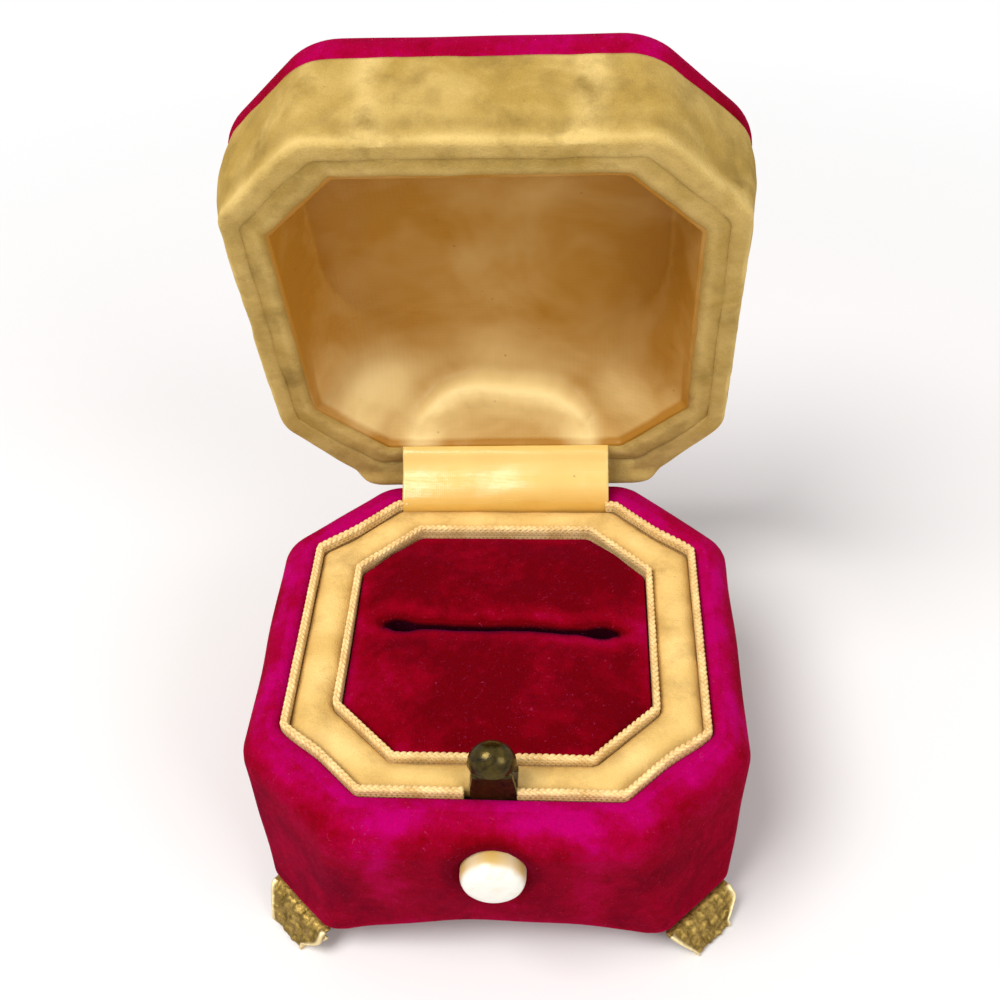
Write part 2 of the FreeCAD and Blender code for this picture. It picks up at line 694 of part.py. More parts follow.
cheeks = [box("bracket_cheek%d" % index, west, east, BRACKET_FRONT, CATCH_BACK + " + eye_radius", FLOOR,
              PIVOT + " + eye_radius")
          for index, (west, east) in enumerate((("-(%s) - brass_sheet" % CHEEK, "-(%s)" % CHEEK),
                                                (CHEEK, CHEEK + " + brass_sheet")))]
keep("catch_bracket", cut("catch_bracket", fuse("bracket_blank", bracketBase, *cheeks), pivotPin, bracketScrews))


def strip(name, spine, thickness, halfWidth):
    """Strip whose section is the spine (y, z) in the YZ plane widened to one side."""
    section = list(spine)
    for index in range(len(spine) - 1, -1, -1):
        before = spine[max(index - 1, 0)]
        after = spine[min(index + 1, len(spine) - 1)]
        along = FreeCAD.Vector(0, after[0] - before[0], after[1] - before[1]).normalize()
        section.append((spine[index][0] - thickness * along.z, spine[index][1] + thickness * along.y))
    wire = Part.makePolygon([FreeCAD.Vector(-halfWidth, y, z) for y, z in section + section[:1]])
    item = doc.addObject("Part::Feature", name)
    item.Shape = Part.Face(wire).extrude(FreeCAD.Vector(2 * halfWidth, 0, 0))
    return item


# The leaf spring stands on the bracket behind the catch and holds it forward.
catchBack = size("catch_gap") - size("tray_half") + size("catch_plate")
floorTop = size("bottom_height") + size("velvet") + size("arch_rise") + size("floor_wood")
springFoot = floorTop + size("brass_sheet")
springThick = size("spring_sheet")
springBack = size("spring_tail") - size("slot_back")
springBend = catchBack + size("eye_radius") + 2 * springThick
springTip = catchBack + springThick + 2 * size("running_gap")
springTop = springFoot + 4 * size("pivot_rise")
leafSpring = strip("leaf_blank", [(springTip, springTop), (springBend, springFoot), (springBack, springFoot)],
                   springThick, size("spring_half"))
keep("catch_spring", cut("catch_spring", leafSpring, bracketScrews))

# ---- Spring hinge in the joint between base and lid ----

HINGE_LINE = ("hinge_setback", HINGE_HEIGHT)
hingePin = rod("hinge_pin", "pin_radius", "-hinge_half - knuckle_gap", "hinge_half + knuckle_gap", "x", HINGE_LINE)
keep("hinge_pin", hingePin)
OUTER_KNUCKLES = [("-hinge_half", "-hinge_half + knuckle"), ("hinge_half - knuckle", "hinge_half")]
INNER_KNUCKLES = [("-hinge_half + knuckle + knuckle_gap", "-hinge_half + 2 * knuckle + knuckle_gap"),
                  ("hinge_half - 2 * knuckle - knuckle_gap", "hinge_half - knuckle - knuckle_gap")]


def hingeLeaf(name, low, high, knuckles, bore, fasteners):
    pieces = [box(name + "_plate", "-hinge_half", "hinge_half", LEAF_FRONT, LEAF_BACK, low, high)]
    for index, (west, east) in enumerate(knuckles):
        pieces.append(box("%s_tab%d" % (name, index), west, east, LEAF_BACK, "hinge_setback", low, high))
        pieces.append(rod("%s_knuckle%d" % (name, index), "barrel_radius", west, east, "x", HINGE_LINE))
    pinHole = rod(name + "_bore", bore, "-belly_half", "belly_half", "x", HINGE_LINE)
    return cut(name, fuse(name + "_blank", *pieces), pinHole, fasteners)


keep("base_hinge_leaf", hingeLeaf("base_hinge_leaf", LEAF_BOTTOM, LEAF_TOP, OUTER_KNUCKLES, "pin_radius", baseScrews))

# ---- Lid, drawn shut ----

lidScrews = screws("lid_hinge_screws", screwPlaces, LID_LEAF_BOTTOM, 1, "screw_head_thick")
lidLeaf = hingeLeaf("lid_hinge_leaf", LID_LEAF_BOTTOM, LID_LEAF_TOP, INNER_KNUCKLES, "pin_radius + running_gap",
                    lidScrews)

lidForm = loft("lid_form", [("lid_half", "lid_leg", LID_BOTTOM), ("crown_half - crown_lap", "crown_leg", LID_TOP)])
lidShellForm = loft("lid_shell_form", [(*inset("lid_half", "lid_leg", "velvet"), LID_SHELL),
                                       (*inset("crown_half - crown_lap", "crown_leg", "velvet"), LID_TOP)])
cavity = slab("lid_cavity", "cavity_half", "cavity_leg", LID_SHELL, LID_TOP + " - lid_wood")
collarColumn = slab("collar_column", "collar_outer + glue_gap", "cavity_leg", LID_BOTTOM + " - overrun", LID_TOP)
lidSlot = box("lid_hinge_slot", "-hinge_slot_half", "hinge_slot_half", "mouth_half - overrun", "belly_half + 3 * overrun",
              "rim_height", LID_SHELL)
lidShell = cut("lid_shell", lidShellForm, cavity, barrelSlot, lidScrews)
lidSide = cut("lid_side_velvet", lidForm, lidShellForm, collarColumn, lidSlot, barrelSlot)

collarOuter = inset("cavity_half", "cavity_leg", "glue_gap")
collarInner = inset("mouth_half", "mouth_leg", "-collar_pile")
collarCard = ring("lid_collar", collarOuter, collarInner, LID_SHELL, COLLAR_TOP)
collarLip = ring("collar_lip", ("collar_outer", "cavity_leg"), ("mouth_half", "mouth_leg"), LID_BOTTOM, LID_SHELL)
collarFace = ring("collar_face", inset(*collarInner, "0"), ("mouth_half", "mouth_leg"), LID_SHELL, COLLAR_TOP)
collarVelvet = cut("lid_collar_velvet", fuse("collar_velvet_blank", collarLip, collarFace), lidSlot)

PAN_BOTTOM = COLLAR_TOP + " + glue_gap"
PAN_TOP = LID_TOP + " - lid_wood - satin_drop"
panOuter = slab("satin_form", *collarOuter, PAN_BOTTOM, PAN_TOP)
roundTop(panOuter, "satin_round")
panInner = slab("satin_inside", *inset(*collarOuter, "satin"), PAN_BOTTOM, PAN_TOP + " - satin")
roundTop(panInner, "satin_round - satin")
satinPan = cut("lid_satin_lining", panOuter, panInner)
liningBlock = slab("lining_block", *collarOuter, PAN_TOP + " - satin_round", LID_TOP + " - lid_wood")
liningWadding = cut("lid_lining_wadding", liningBlock, panOuter)

keeperPlate = box("keeper_plate", "-keeper_half", "keeper_half", "-cavity_half + glue_gap + satin",
                  CATCH_FRONT + " - keeper_overlap", COLLAR_TOP, COLLAR_TOP + " + brass_sheet")
NAIL_LINE = "-mouth_half - collar_pile - keeper_nail - glue_gap"
keeperNailsDrawn = group("keeper_nails", [
    rod("keeper_nail%d" % index, "keeper_nail", COLLAR_TOP + " - 3 * brass_sheet", COLLAR_TOP + " + brass_sheet",
        "z", (x, NAIL_LINE)) for index, x in enumerate(("-keeper_half + keeper_nail_inset", "keeper_half - keeper_nail_inset"))])
keeper = cut("lid_keeper", keeperPlate, keeperNailsDrawn)
collarCard = cut("lid_collar", collarCard, keeperNailsDrawn)

CROWN_BOTTOM = LID_TOP + " + glue_gap"
CROWN_TOP = LID_TOP + " + crown_height"
BOARD_TOP_LID = CROWN_BOTTOM + " + card"
crownForm = slab("crown_form", "crown_half", "crown_leg", CROWN_BOTTOM, CROWN_TOP)
roundTop(crownForm, "crown_round")
crownInset = inset("crown_half", "crown_leg", "velvet")
topBoard = slab("lid_top_board", *crownInset, CROWN_BOTTOM, BOARD_TOP_LID)
topWadding = slab("lid_top_wadding", *crownInset, BOARD_TOP_LID, CROWN_TOP + " - velvet")
roundTop(topWadding, "crown_round - velvet")
topVelvet = cut("lid_top_velvet", crownForm, topBoard, topWadding)

doc.recompute()
hingeAxis = FreeCAD.Vector(0, size("hinge_setback"), size("rim_height") + 0.5 * size("lid_gap"))
openPose = FreeCAD.Placement(FreeCAD.Vector(), FreeCAD.Rotation(FreeCAD.Vector(-1, 0, 0), size("open_angle")), hingeAxis)
LID_PIECES = {
    "lid_shell": lidShell, "lid_side_velvet": lidSide, "lid_top_board": topBoard, "lid_top_wadding": topWadding,
    "lid_top_velvet": topVelvet, "lid_collar": collarCard, "lid_collar_velvet": collarVelvet,
    "lid_lining_wadding": liningWadding, "lid_satin_lining": satinPan, "lid_keeper": keeper,
    "keeper_nails": keeperNailsDrawn, "lid_hinge_leaf": lidLeaf, "lid_hinge_screws": lidScrews,
}
for label, drawn in LID_PIECES.items():
    opened = doc.addObject("Part::Feature", label + "_open")
    opened.Shape = drawn.Shape
    opened.Placement = openPose.multiply(drawn.Placement)
    keep(label, opened)

# ---- Torsion spring round the pin, drawn as a coil with its two legs ----

coilRadius = size("barrel_radius") - size("spring_wire")
coilHalf = size("hinge_half") - 2 * size("knuckle") - 3 * size("knuckle_gap") - size("spring_wire")
helix = Part.makeHelix(size("coil_pitch"), 2 * coilHalf, coilRadius)
profile = Part.Wire(Part.makeCircle(size("spring_wire"), FreeCAD.Vector(coilRadius, 0, 0), FreeCAD.Vector(0, 1, 0)))
coil = Part.Wire(helix.Edges).makePipeShell([profile], True, True)
coil.Placement = FreeCAD.Placement(FreeCAD.Vector(-coilHalf, hingeAxis.y, hingeAxis.z),
                                   FreeCAD.Rotation(FreeCAD.Vector(0, 1, 0), 90))
hingeSpring = doc.addObject("Part::Feature", "hinge_spring")
hingeSpring.Shape = coil
keep("hinge_spring", hingeSpring)

# ---- Satin ribbon from the back of the tray up to the mouth of the open lid ----

trayBack = FreeCAD.Vector(0, size("tray_half") + size("ribbon_clear"), hingeAxis.z)
mouthBack = openPose.multVec(FreeCAD.Vector(0, size("mouth_half") + 2 * size("ribbon_clear"), hingeAxis.z))
span = mouthBack - trayBack
forward = FreeCAD.Vector(0, -span.z, span.y).normalize()


def ribbonArc(lift):
    ends = [point + forward * lift for point in (trayBack, mouthBack)]
    middle = (trayBack + mouthBack) / 2 + forward * (lift + size("ribbon_bulge"))
    return ends, Part.Arc(ends[0], middle, ends[1]).toShape()


lowEnds, lowArc = ribbonArc(0)
highEnds, highArc = ribbonArc(size("ribbon_thick"))
ribbonEdges = [lowArc, Part.makeLine(lowEnds[1], highEnds[1]), highArc, Part.makeLine(highEnds[0], lowEnds[0])]
ribbonFace = Part.Face(Part.Wire(Part.__sortEdges__(ribbonEdges)))
ribbonFace.translate(FreeCAD.Vector(-size("ribbon_half"), 0, 0))
ribbon = doc.addObject("Part::Feature", "hinge_ribbon")
ribbon.Shape = ribbonFace.extrude(FreeCAD.Vector(2 * size("ribbon_half"), 0, 0))
keep("hinge_ribbon", ribbon)

# ---- Check and write ----

doc.recompute()
for item in doc.Objects:
    assert not {"Invalid", "Error"} & set(item.State), item.Label + " did not build"
os.makedirs("parts", exist_ok=True)
for label, item in sorted(subparts.items()):
    shape = item.Shape
    assert not shape.isNull() and shape.isValid() and shape.Solids, label + " is not a valid solid"
    shape.exportStep("parts/%s.step" % label)
    print("%-22s solids %2d  volume %10.3f mm3" % (label, len(shape.Solids), shape.Volume))
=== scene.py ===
import bpy
import numpy as np
from mathutils import Matrix, Vector


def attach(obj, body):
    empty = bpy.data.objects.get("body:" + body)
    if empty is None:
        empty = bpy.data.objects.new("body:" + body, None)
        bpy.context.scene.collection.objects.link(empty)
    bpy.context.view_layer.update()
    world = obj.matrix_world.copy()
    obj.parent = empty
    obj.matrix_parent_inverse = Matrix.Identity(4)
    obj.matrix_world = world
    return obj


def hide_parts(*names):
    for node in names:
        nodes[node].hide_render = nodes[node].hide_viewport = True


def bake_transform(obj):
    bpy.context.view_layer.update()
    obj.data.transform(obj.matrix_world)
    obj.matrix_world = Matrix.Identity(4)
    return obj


# Velvet ring box, open on its spring hinge. Lengths are millimetres here, turned to metres in the meshes.
# X right, Y back, Z up. Lid pieces are worked out shut and then swung open about the hinge pin.

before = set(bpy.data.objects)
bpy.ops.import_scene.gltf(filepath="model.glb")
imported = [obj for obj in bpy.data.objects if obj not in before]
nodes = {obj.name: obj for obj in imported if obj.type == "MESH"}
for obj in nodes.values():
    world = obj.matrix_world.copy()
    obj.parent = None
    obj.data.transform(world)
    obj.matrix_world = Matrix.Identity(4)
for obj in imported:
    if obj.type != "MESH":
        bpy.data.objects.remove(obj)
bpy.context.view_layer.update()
mm = 0.001

# the open lid leans to one side and is skewed a little; both grow over the first near millimetres from the
# hinge pin
hinge = dict(back=27.9, height=24.45, open=75.0, lean=-0.3, skew=0.008, near=20.0)
# the base: half width and corner leg of its rings, their heights, and the arch of its bottom edge
outline = dict(
    belly=(27.4, 11.5), bellyHeight=20.6, rim=(27.2, 11.4), rimHeight=24.3, bottom=(25.8, 7.3),
    bottomHeight=3.8, shoulder=3.2, archRise=2.5, archHalf=16.4)


def smooth(low, high, value):
    # 0 below low, 1 above high, an even S between them
    t = np.clip((value - low) / (high - low), 0, 1)
    return t * t * (3 - 2 * t)


def waves(points, size, seed, count=9):
    # sum of sine waves that run in random directions, each about size mm long; between about -1 and 1
    pick = np.random.default_rng(seed)
    ways = pick.normal(size=(count, 3))
    ways /= np.linalg.norm(ways, axis=1)[:, None]
    lengths = size * pick.uniform(0.6, 1.6, count)
    starts = pick.uniform(0, 2 * np.pi, count)
    phase = points @ (ways * (2 * np.pi / lengths)[:, None]).T + starts
    return np.sin(phase).sum(-1) / np.sqrt(count) * 0.7


def octagonRings(half, leg, bend, flat=40, cut=16, turn=7):
    # each ring is a square of half width half whose corners are cut off by leg; every one of the eight
    # corners is an arc of radius bend. Columns run from the front middle round by the right, and back to
    # the front middle.
    half, leg, bend = np.broadcast_arrays(*(np.atleast_1d(np.asarray(v, float)) for v in (half, leg, bend)))
    near = half - leg
    corners = [(near, -half, 270), (half, -near, 315), (half, near, 0), (near, half, 45),
               (-near, half, 90), (-half, near, 135), (-half, -near, 180), (-near, -half, 225)]
    arcs, facing = [], []
    for x, y, start in corners:
        angle = np.radians(start + np.linspace(0, 45, turn))
        middle = np.radians(start + 22.5)
        reach = bend / np.cos(np.radians(22.5))
        centre = np.stack([x - reach * np.cos(middle), y - reach * np.sin(middle)], -1)
        way = np.stack([np.cos(angle), np.sin(angle)], -1)
        arcs.append(centre[:, None] + bend[:, None, None] * way)
        facing.append(np.broadcast_to(way, arcs[-1].shape))
    front = np.stack([np.zeros_like(half), -half], -1)[:, None]
    frontFacing = np.broadcast_to(np.array([0.0, -1.0]), front.shape)
    points, ways = [front], [frontFacing]
    for index, arc in enumerate(arcs):
        count = flat // 2 if index == 0 else cut if index % 2 else flat
        share = np.linspace(0, 1, count + 1)[1:-1][:, None]
        points += [points[-1][:, -1:] * (1 - share) + arc[:, :1] * share, arc]
        ways += [np.repeat(facing[index][:, :1], len(share), 1), facing[index]]
    share = np.linspace(0, 1, flat // 2 + 1)[1:-1][:, None]
    points.append(points[-1][:, -1:] * (1 - share) + front * share)
    ways.append(np.repeat(frontFacing, len(share), 1))
    return np.concatenate(points, 1), np.concatenate(ways, 1)


def atHeight(flat, height):
    # flat points given their z: one number for all, one a row, or one a point
    height = np.asarray(height, float)
    if height.ndim == 1:
        height = height[:, None]
    return np.concatenate([flat, np.broadcast_to(height, flat.shape[:-1])[..., None]], -1)


def bell(value, middle, width):
    # 1 at middle, fading on both sides as exp(-x squared)
    return np.exp(-((value - middle) / width) ** 2)


def runLengths(line):
    # how far along a line of points each of its points lies
    return np.concatenate([[0], np.cumsum(np.linalg.norm(np.diff(line, axis=0), axis=1))])


def pointsAlong(line, lengths, places):
    # the points of a flat line that lie at given lengths along it
    return np.stack([np.interp(places, lengths, line[:, axis]) for axis in (0, 1)], -1)


def evened(line, weights):
    # a flat line smoothed by a running mean with these weights
    return np.stack([np.convolve(line[:, axis], weights, "valid") for axis in (0, 1)], -1)


def wayAlong(line):
    # unit steps along a line of points
    on = np.gradient(line, axis=0)
    return on / np.linalg.norm(on, axis=1)[:, None]


def ringLine(half, leg, bend, turn):
    # one fine octagon ring closed on itself, and the lengths along it
    ring = octagonRings(half, leg, bend, flat=120, cut=60, turn=turn)[0][0]
    ring = np.vstack([ring, ring[:1]])
    return ring, runLengths(ring)


def evenPath(half, leg, bend, gap, step, parts):
    # points a step apart on the ring from x = gap at the front all the way round to x = -gap, on the given
    # parts of that run; with each point's way out and its length along the ring
    ring, lengths = ringLine(half, leg, bend, turn=24)
    run = lengths[-1] - 2 * gap
    found = []
    for start, end in parts:
        place = np.linspace(gap + start * run, gap + end * run, int((end - start) * run / step))
        path = pointsAlong(ring, lengths, place)
        on = wayAlong(path)
        found.append((path, np.stack([on[:, 1], -on[:, 0]], -1), place))
    return found


def tubeSurface(line, radius, sides=6):
    # a circle of radius carried along a line of points, kept upright; radius may change along the line
    on = wayAlong(line)
    side = np.cross(on, [0.0, 0.0, 1.0])
    side /= np.maximum(np.linalg.norm(side, axis=1), 1e-9)[:, None]
    up = np.cross(side, on)
    angle = np.linspace(0, 2 * np.pi, sides, endpoint=False)[None, :, None]
    radius = np.broadcast_to(radius, len(line))[:, None, None]
    return line[:, None] + radius * (np.cos(angle) * side[:, None] + np.sin(angle) * up[:, None])


def swingOpen(points):
    # a point of the shut lid, turned back about the hinge pin by the open angle
    turn = np.radians(hinge["open"])
    back, up = points[..., 1] - hinge["back"], points[..., 2] - hinge["height"]
    opened = np.array(points, float)
    far = smooth(0, hinge["near"], -back)
    opened[..., 0] += hinge["lean"] * far
    opened[..., 1] = hinge["back"] + np.cos(turn) * back + np.sin(turn) * up
    opened[..., 2] = hinge["height"] - np.sin(turn) * back + np.cos(turn) * up
    opened[..., 2] -= hinge["skew"] * points[..., 0] * far
    return opened


# widenOver, rimOver and heights are the spans over which the shift grows or dies out
askew = dict(shift=0.15, widen=0.85, widenOver=(17.9, 21.6), shear=0.015, rimOver=(26.6, 22.8),
             heights=(19.5, 21.3))


def handLaid(points):
    # the tray and its trims lie a little askew: moved right, sheared so the right side is nearer the front,
    # and widened to both sides; the shift dies out across the rim and below it
    d = askew
    x, y, z = points[..., 0], points[..., 1], points[..., 2]
    reach = np.maximum(np.maximum(np.abs(x), np.abs(y)), 0.625 * (np.abs(x) + np.abs(y)))
    share = smooth(*d["rimOver"], reach) * smooth(*d["heights"], z)
    laid = np.array(points, float)
    laid[..., 0] += share * (d["shift"] + d["widen"] * np.sign(x) * smooth(*d["widenOver"], np.abs(x)))
    laid[..., 1] -= share * d["shear"] * x
    return laid


def gridFaces(rows, columns, closedRows, closedColumns, first):
    # four-sided faces between the neighbours of a grid of points that are numbered row by row from first
    index = first + np.arange(rows * columns).reshape(rows, columns)
    if closedRows:
        index = np.vstack([index, index[:1]])
    if closedColumns:
        index = np.hstack([index, index[:, :1]])
    return np.stack([index[:-1, :-1], index[:-1, 1:], index[1:, 1:], index[1:, :-1]], -1).reshape(-1, 4)


def makePiece(name, grids, closedRows=False, closedColumns=False, caps=(), values=None, flip=False):
    # one mesh from one or more grids of points; caps closes the first or last row with a fan to its middle,
    # values are numbers a point for the finishes to read, and flip turns the faces round
    points, faces, stands, found, plain = [], [], [], 0, 0
    for grid in grids:
        rows, columns = grid.shape[:2]
        faces += gridFaces(rows, columns, closedRows, closedColumns, found).tolist()
        points.append(grid.reshape(-1, 3))
        stands.append(plain + np.arange(rows * columns))
        start, found = found, found + rows * columns
        for end in caps:
            row = (0 if end == "first" else (rows - 1) * columns) + np.arange(columns)
            after = np.roll(row, -1)
            fan = np.stack([after, row] if end == "first" else [row, after], -1) + start
            faces += np.hstack([fan, np.full((columns, 1), found)]).tolist()
            points.append(grid[0 if end == "first" else -1].mean(0)[None])
            stands.append(plain + row[:1])
            found += 1
        plain += rows * columns
    mesh = bpy.data.meshes.new(name)
    if flip:
        faces = [face[::-1] for face in faces]
    mesh.from_pydata((np.concatenate(points) * mm).tolist(), [], faces)
    for label, value in (values or {}).items():
        full = np.asarray(value, np.float32).ravel()[np.concatenate(stands)]
        mesh.attributes.new(label, "FLOAT", "POINT").data.foreach_set("value", full)
    mesh.polygons.foreach_set("use_smooth", np.ones(len(mesh.polygons), bool))
    mesh.update()
    piece = bpy.data.objects.new(name, mesh)
    bpy.context.scene.collection.objects.link(piece)
    return piece


def dress(piece, finish, body, slot, *stoodFor):
    # gives a piece its finish and the body that it moves with, and hides the CAD nodes it stands for; slot is
    # not used
    piece.data.materials.append(finish)
    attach(piece, body)
    if stoodFor:
        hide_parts(*stoodFor)
    return piece


def newFinish(name, roughness=0.8, metallic=0.0, specular=0.5, sheen=0.0, sheenTint=(1, 1, 1),
              sheenRoughness=0.4, coat=0.0, coatRoughness=0.1):
    finish = bpy.data.materials.new(name)
    finish.use_nodes = True
    shader = finish.node_tree.nodes["Principled BSDF"]
    for socket, value in (
            ("Roughness", roughness), ("Metallic", metallic), ("Specular IOR Level", specular),
            ("Sheen Weight", sheen), ("Sheen Tint", (*sheenTint, 1)), ("Sheen Roughness", sheenRoughness),
            ("Coat Weight", coat), ("Coat Roughness", coatRoughness)):
        shader.inputs[socket].default_value = value
    return finish, shader


def node(finish, kind, inputs=None, **settings):
    made = finish.node_tree.nodes.new("ShaderNode" + kind)
    for key, value in settings.items():
        setattr(made, key, value)
    for key, value in (inputs or {}).items():
        if isinstance(value, bpy.types.NodeSocket):
            finish.node_tree.links.new(value, made.inputs[key])
        else:
            made.inputs[key].default_value = value
    return made


def link(finish, source, target):
    finish.node_tree.links.new(source, target)


def grain(finish, size, detail=3.0, roughness=0.55, distortion=0.0, stretch=None):
    # noise whose lumps are about size mm across; stretch squeezes it along an axis
    where = node(finish, "TexCoord").outputs["Object"]
    if stretch:
        where = node(finish, "Mapping", {"Vector": where, "Scale": stretch}).outputs[0]
    return node(finish, "TexNoise", {"Vector": where, "Scale": 1 / (size * mm), "Detail": detail,
                                     "Roughness": roughness, "Distortion": distortion}).outputs[0]


def cells(finish, size):
    # distance to the nearest of points scattered about size mm apart
    where = node(finish, "TexCoord").outputs["Object"]
    return node(finish, "TexVoronoi", {"Vector": where, "Scale": 1 / (size * mm)}).outputs["Distance"]


def painted(finish, label):
    # a number that a piece carries at each point
    return node(finish, "Attribute", attribute_name=label).outputs["Fac"]


def combine(finish, kind, first, second, clamp=False):
    return node(finish, "Math", {0: first, 1: second}, operation=kind, use_clamp=clamp).outputs[0]


def spread(finish, value, low, high, first=0.0, last=1.0):
    return node(finish, "MapRange", {"Value": value, "From Min": low, "From Max": high, "To Min": first,
                                     "To Max": last}).outputs[0]


def colours(finish, value, stops):
    # colour ramp from (place, (r, g, b)) stops, with colours in linear light
    ramp = node(finish, "ValToRGB", {"Fac": value})
    band = ramp.color_ramp
    for index, (place, colour) in enumerate(stops):
        stop = band.elements[index] if index < 2 else band.elements.new(place)
        stop.position, stop.color = place, (*colour, 1)
    return ramp.outputs["Color"]


def blendColours(finish, share, first, second, kind="MIX"):
    # sockets 0, 6 and 7 of the node are the share and the two colours
    mix = node(finish, "Mix", data_type="RGBA", blend_type=kind)
    for index, value in ((0, share), (6, first), (7, second)):
        if isinstance(value, bpy.types.NodeSocket):
            link(finish, value, mix.inputs[index])
        else:
            mix.inputs[index].default_value = value if index == 0 else (*value, 1)
    return mix.outputs[2]


def addBumps(finish, shader, *heights):
    # bumps stacked on each other: (height, how deep in mm)
    normal = None
    for height, depth in heights:
        inputs = {"Height": height, "Distance": depth * mm, "Strength": 1.0}
        if normal is not None:
            inputs["Normal"] = normal
        normal = node(finish, "Bump", inputs).outputs[0]
    link(finish, normal, shader.inputs["Normal"])


def pinkVelvet():
    # deep to bright magenta by the painted pile value, which holds painted sheen, brighter where the velvet
    # catches the light, and painted shade; with clouds, brushed strokes and flecks of lint
    finish, shader = newFinish("pinkVelvet", roughness=0.95, specular=0.02, sheen=0.10,
                               sheenTint=(1.0, 0.02, 0.35), sheenRoughness=0.45)
    patches = grain(finish, 9, detail=3, distortion=0.6)
    strokes = grain(finish, 1.3, detail=4, roughness=0.65)
    # the piece's painted sheen and painted shade
    laid = painted(finish, "pile")
    pile = combine(finish, "ADD", laid, spread(finish, patches, 0.3, 0.7, -0.26, 0.26))
    pile = combine(finish, "ADD", pile, spread(finish, strokes, 0.25, 0.75, -0.16, 0.16), clamp=True)
    tone = colours(finish, pile, [(0.0, (0.115, 0.0, 0.0022)), (1.0, (0.385, 0.0, 0.115)),
                                  (0.35, (0.205, 0.0, 0.0075)), (0.65, (0.29, 0.0, 0.032))])
    fibres = grain(finish, 0.20, detail=2, roughness=0.7)
    fluff = spread(finish, fibres, 0.35, 0.7, 0.0, 0.5)
    tone = blendColours(finish, fluff, tone, (0.9, 0.2, 0.4), "SOFT_LIGHT")
    # painted shade: the colour turns near black where the painted value is lowest, down in the ring slot
    tone = blendColours(finish, spread(finish, laid, -0.75, -0.2, 1.0, 0.0), tone, (0.012, 0.0, 0.001))
    lint = spread(finish, grain(finish, 0.55, detail=2, distortion=2.5), 0.66, 0.76, 0.0, 0.45)
    tone = blendColours(finish, lint, tone, (0.50, 0.045, 0.16))
    link(finish, tone, shader.inputs["Base Color"])
    addBumps(finish, shader, (fibres, 0.12), (strokes, 0.16))
    return finish


def creamVelvet(name, pale, plain, dirtAndShade, smudges):
    # paler where the piece paints it, darker where grime and painted shade are painted and in cloudy smudges
    finish, shader = newFinish(name, roughness=0.95, specular=0.04, sheen=0.08, sheenTint=(1.0, 0.8, 0.4),
                               sheenRoughness=0.5)
    patches = grain(finish, 7, detail=4, roughness=0.6, distortion=0.5)
    paleShare = combine(finish, "ADD", painted(finish, "pile"), spread(finish, patches, 0.3, 0.7, -0.35, 0.35),
                   clamp=True)
    tone = colours(finish, paleShare, [(0.0, plain), (1.0, pale)])
    clouds = spread(finish, grain(finish, 4.5, detail=5, roughness=0.65), 0.5, 0.72, 0.0, smudges)
    stainAndShade = combine(finish, "ADD", clouds, painted(finish, "grimeAndShade"), clamp=True)
    tone = blendColours(finish, stainAndShade, tone, dirtAndShade)
    specks = spread(finish, cells(finish, 2.4), 0.0, 0.07, 0.45, 0.0)
    tone = blendColours(finish, specks, tone, (0.10, 0.055, 0.02))
    fibres = grain(finish, 0.2, detail=2, roughness=0.7)
    fluff = spread(finish, fibres, 0.35, 0.7, 0.0, 0.3)
    tone = blendColours(finish, fluff, tone, (0.9, 0.8, 0.6), "SOFT_LIGHT")
    link(finish, tone, shader.inputs["Base Color"])
    addBumps(finish, shader, (fibres, 0.10), (grain(finish, 1.1, detail=3), 0.12))
    return finish


def satinCloth(name, tone, amber, roughness, weave, specular):
    # amber where it is painted, with dark specks and a weave of two crossing waves, weave mm apart
    finish, shader = newFinish(name, roughness=roughness, specular=specular)
    clouds = spread(finish, grain(finish, 12, detail=3, distortion=0.4), 0.3, 0.7, -0.14, 0.14)
    drift = combine(finish, "ADD", painted(finish, "amber"), clouds, clamp=True)
    colour = blendColours(finish, drift, tone, amber)
    specks = spread(finish, cells(finish, 3.4), 0.0, 0.06, 0.7, 0.0)
    colour = blendColours(finish, specks, colour, (0.16, 0.07, 0.02))
    link(finish, colour, shader.inputs["Base Color"])
    where = node(finish, "TexCoord").outputs["Object"]
    threads = {"Vector": where, "Scale": 0.32 / (weave * mm), "Distortion": 0.6}
    warp, weft = (node(finish, "TexWave", threads, bands_direction=way).outputs["Fac"] for way in "XZ")
    dots = combine(finish, "MULTIPLY", warp, weft)
    addBumps(finish, shader, (dots, 0.03 * weave), (grain(finish, 3.0, detail=2), 0.10))
    return finish


def braidYarn():
    finish, shader = newFinish("braidYarn", roughness=0.5, specular=0.35)
    tone = colours(finish, grain(finish, 2.2, detail=3),
                   [(0.25, (0.62, 0.38, 0.12)), (0.75, (0.95, 0.70, 0.33))])
    tone = blendColours(finish, spread(finish, grain(finish, 0.3, detail=2), 0.5, 0.75, 0.0, 0.5), tone,
                        (0.98, 0.80, 0.46))
    # darker where the piece paints it: on the band this is painted shade between the stitches and at its foot
    tone = blendColours(finish, painted(finish, "grimeAndShade"), tone, (0.22, 0.11, 0.025))
    link(finish, tone, shader.inputs["Base Color"])
    addBumps(finish, shader, (grain(finish, 0.12, detail=2), 0.03))
    return finish


def metalFinish(name, dark, bright, roughness, wornEdge=None, lumps=0.9, depth=0.08, metallic=1.0):
    # mottled from dark to bright in lumps of that many mm; wornEdge is the colour where "edge" is painted
    finish, shader = newFinish(name, roughness=roughness, metallic=metallic)
    mottle = grain(finish, lumps, detail=4, roughness=0.65, distortion=0.7)
    tone = colours(finish, mottle, [(0.3, dark), (0.7, bright)])
    if wornEdge:
        tone = blendColours(finish, painted(finish, "edge"), tone, wornEdge)
    link(finish, tone, shader.inputs["Base Color"])
    link(finish, spread(finish, mottle, 0.3, 0.7, roughness + 0.15, roughness), shader.inputs["Roughness"])
    addBumps(finish, shader, (mottle, depth), (grain(finish, 0.25, detail=2), 0.02))
    return finish


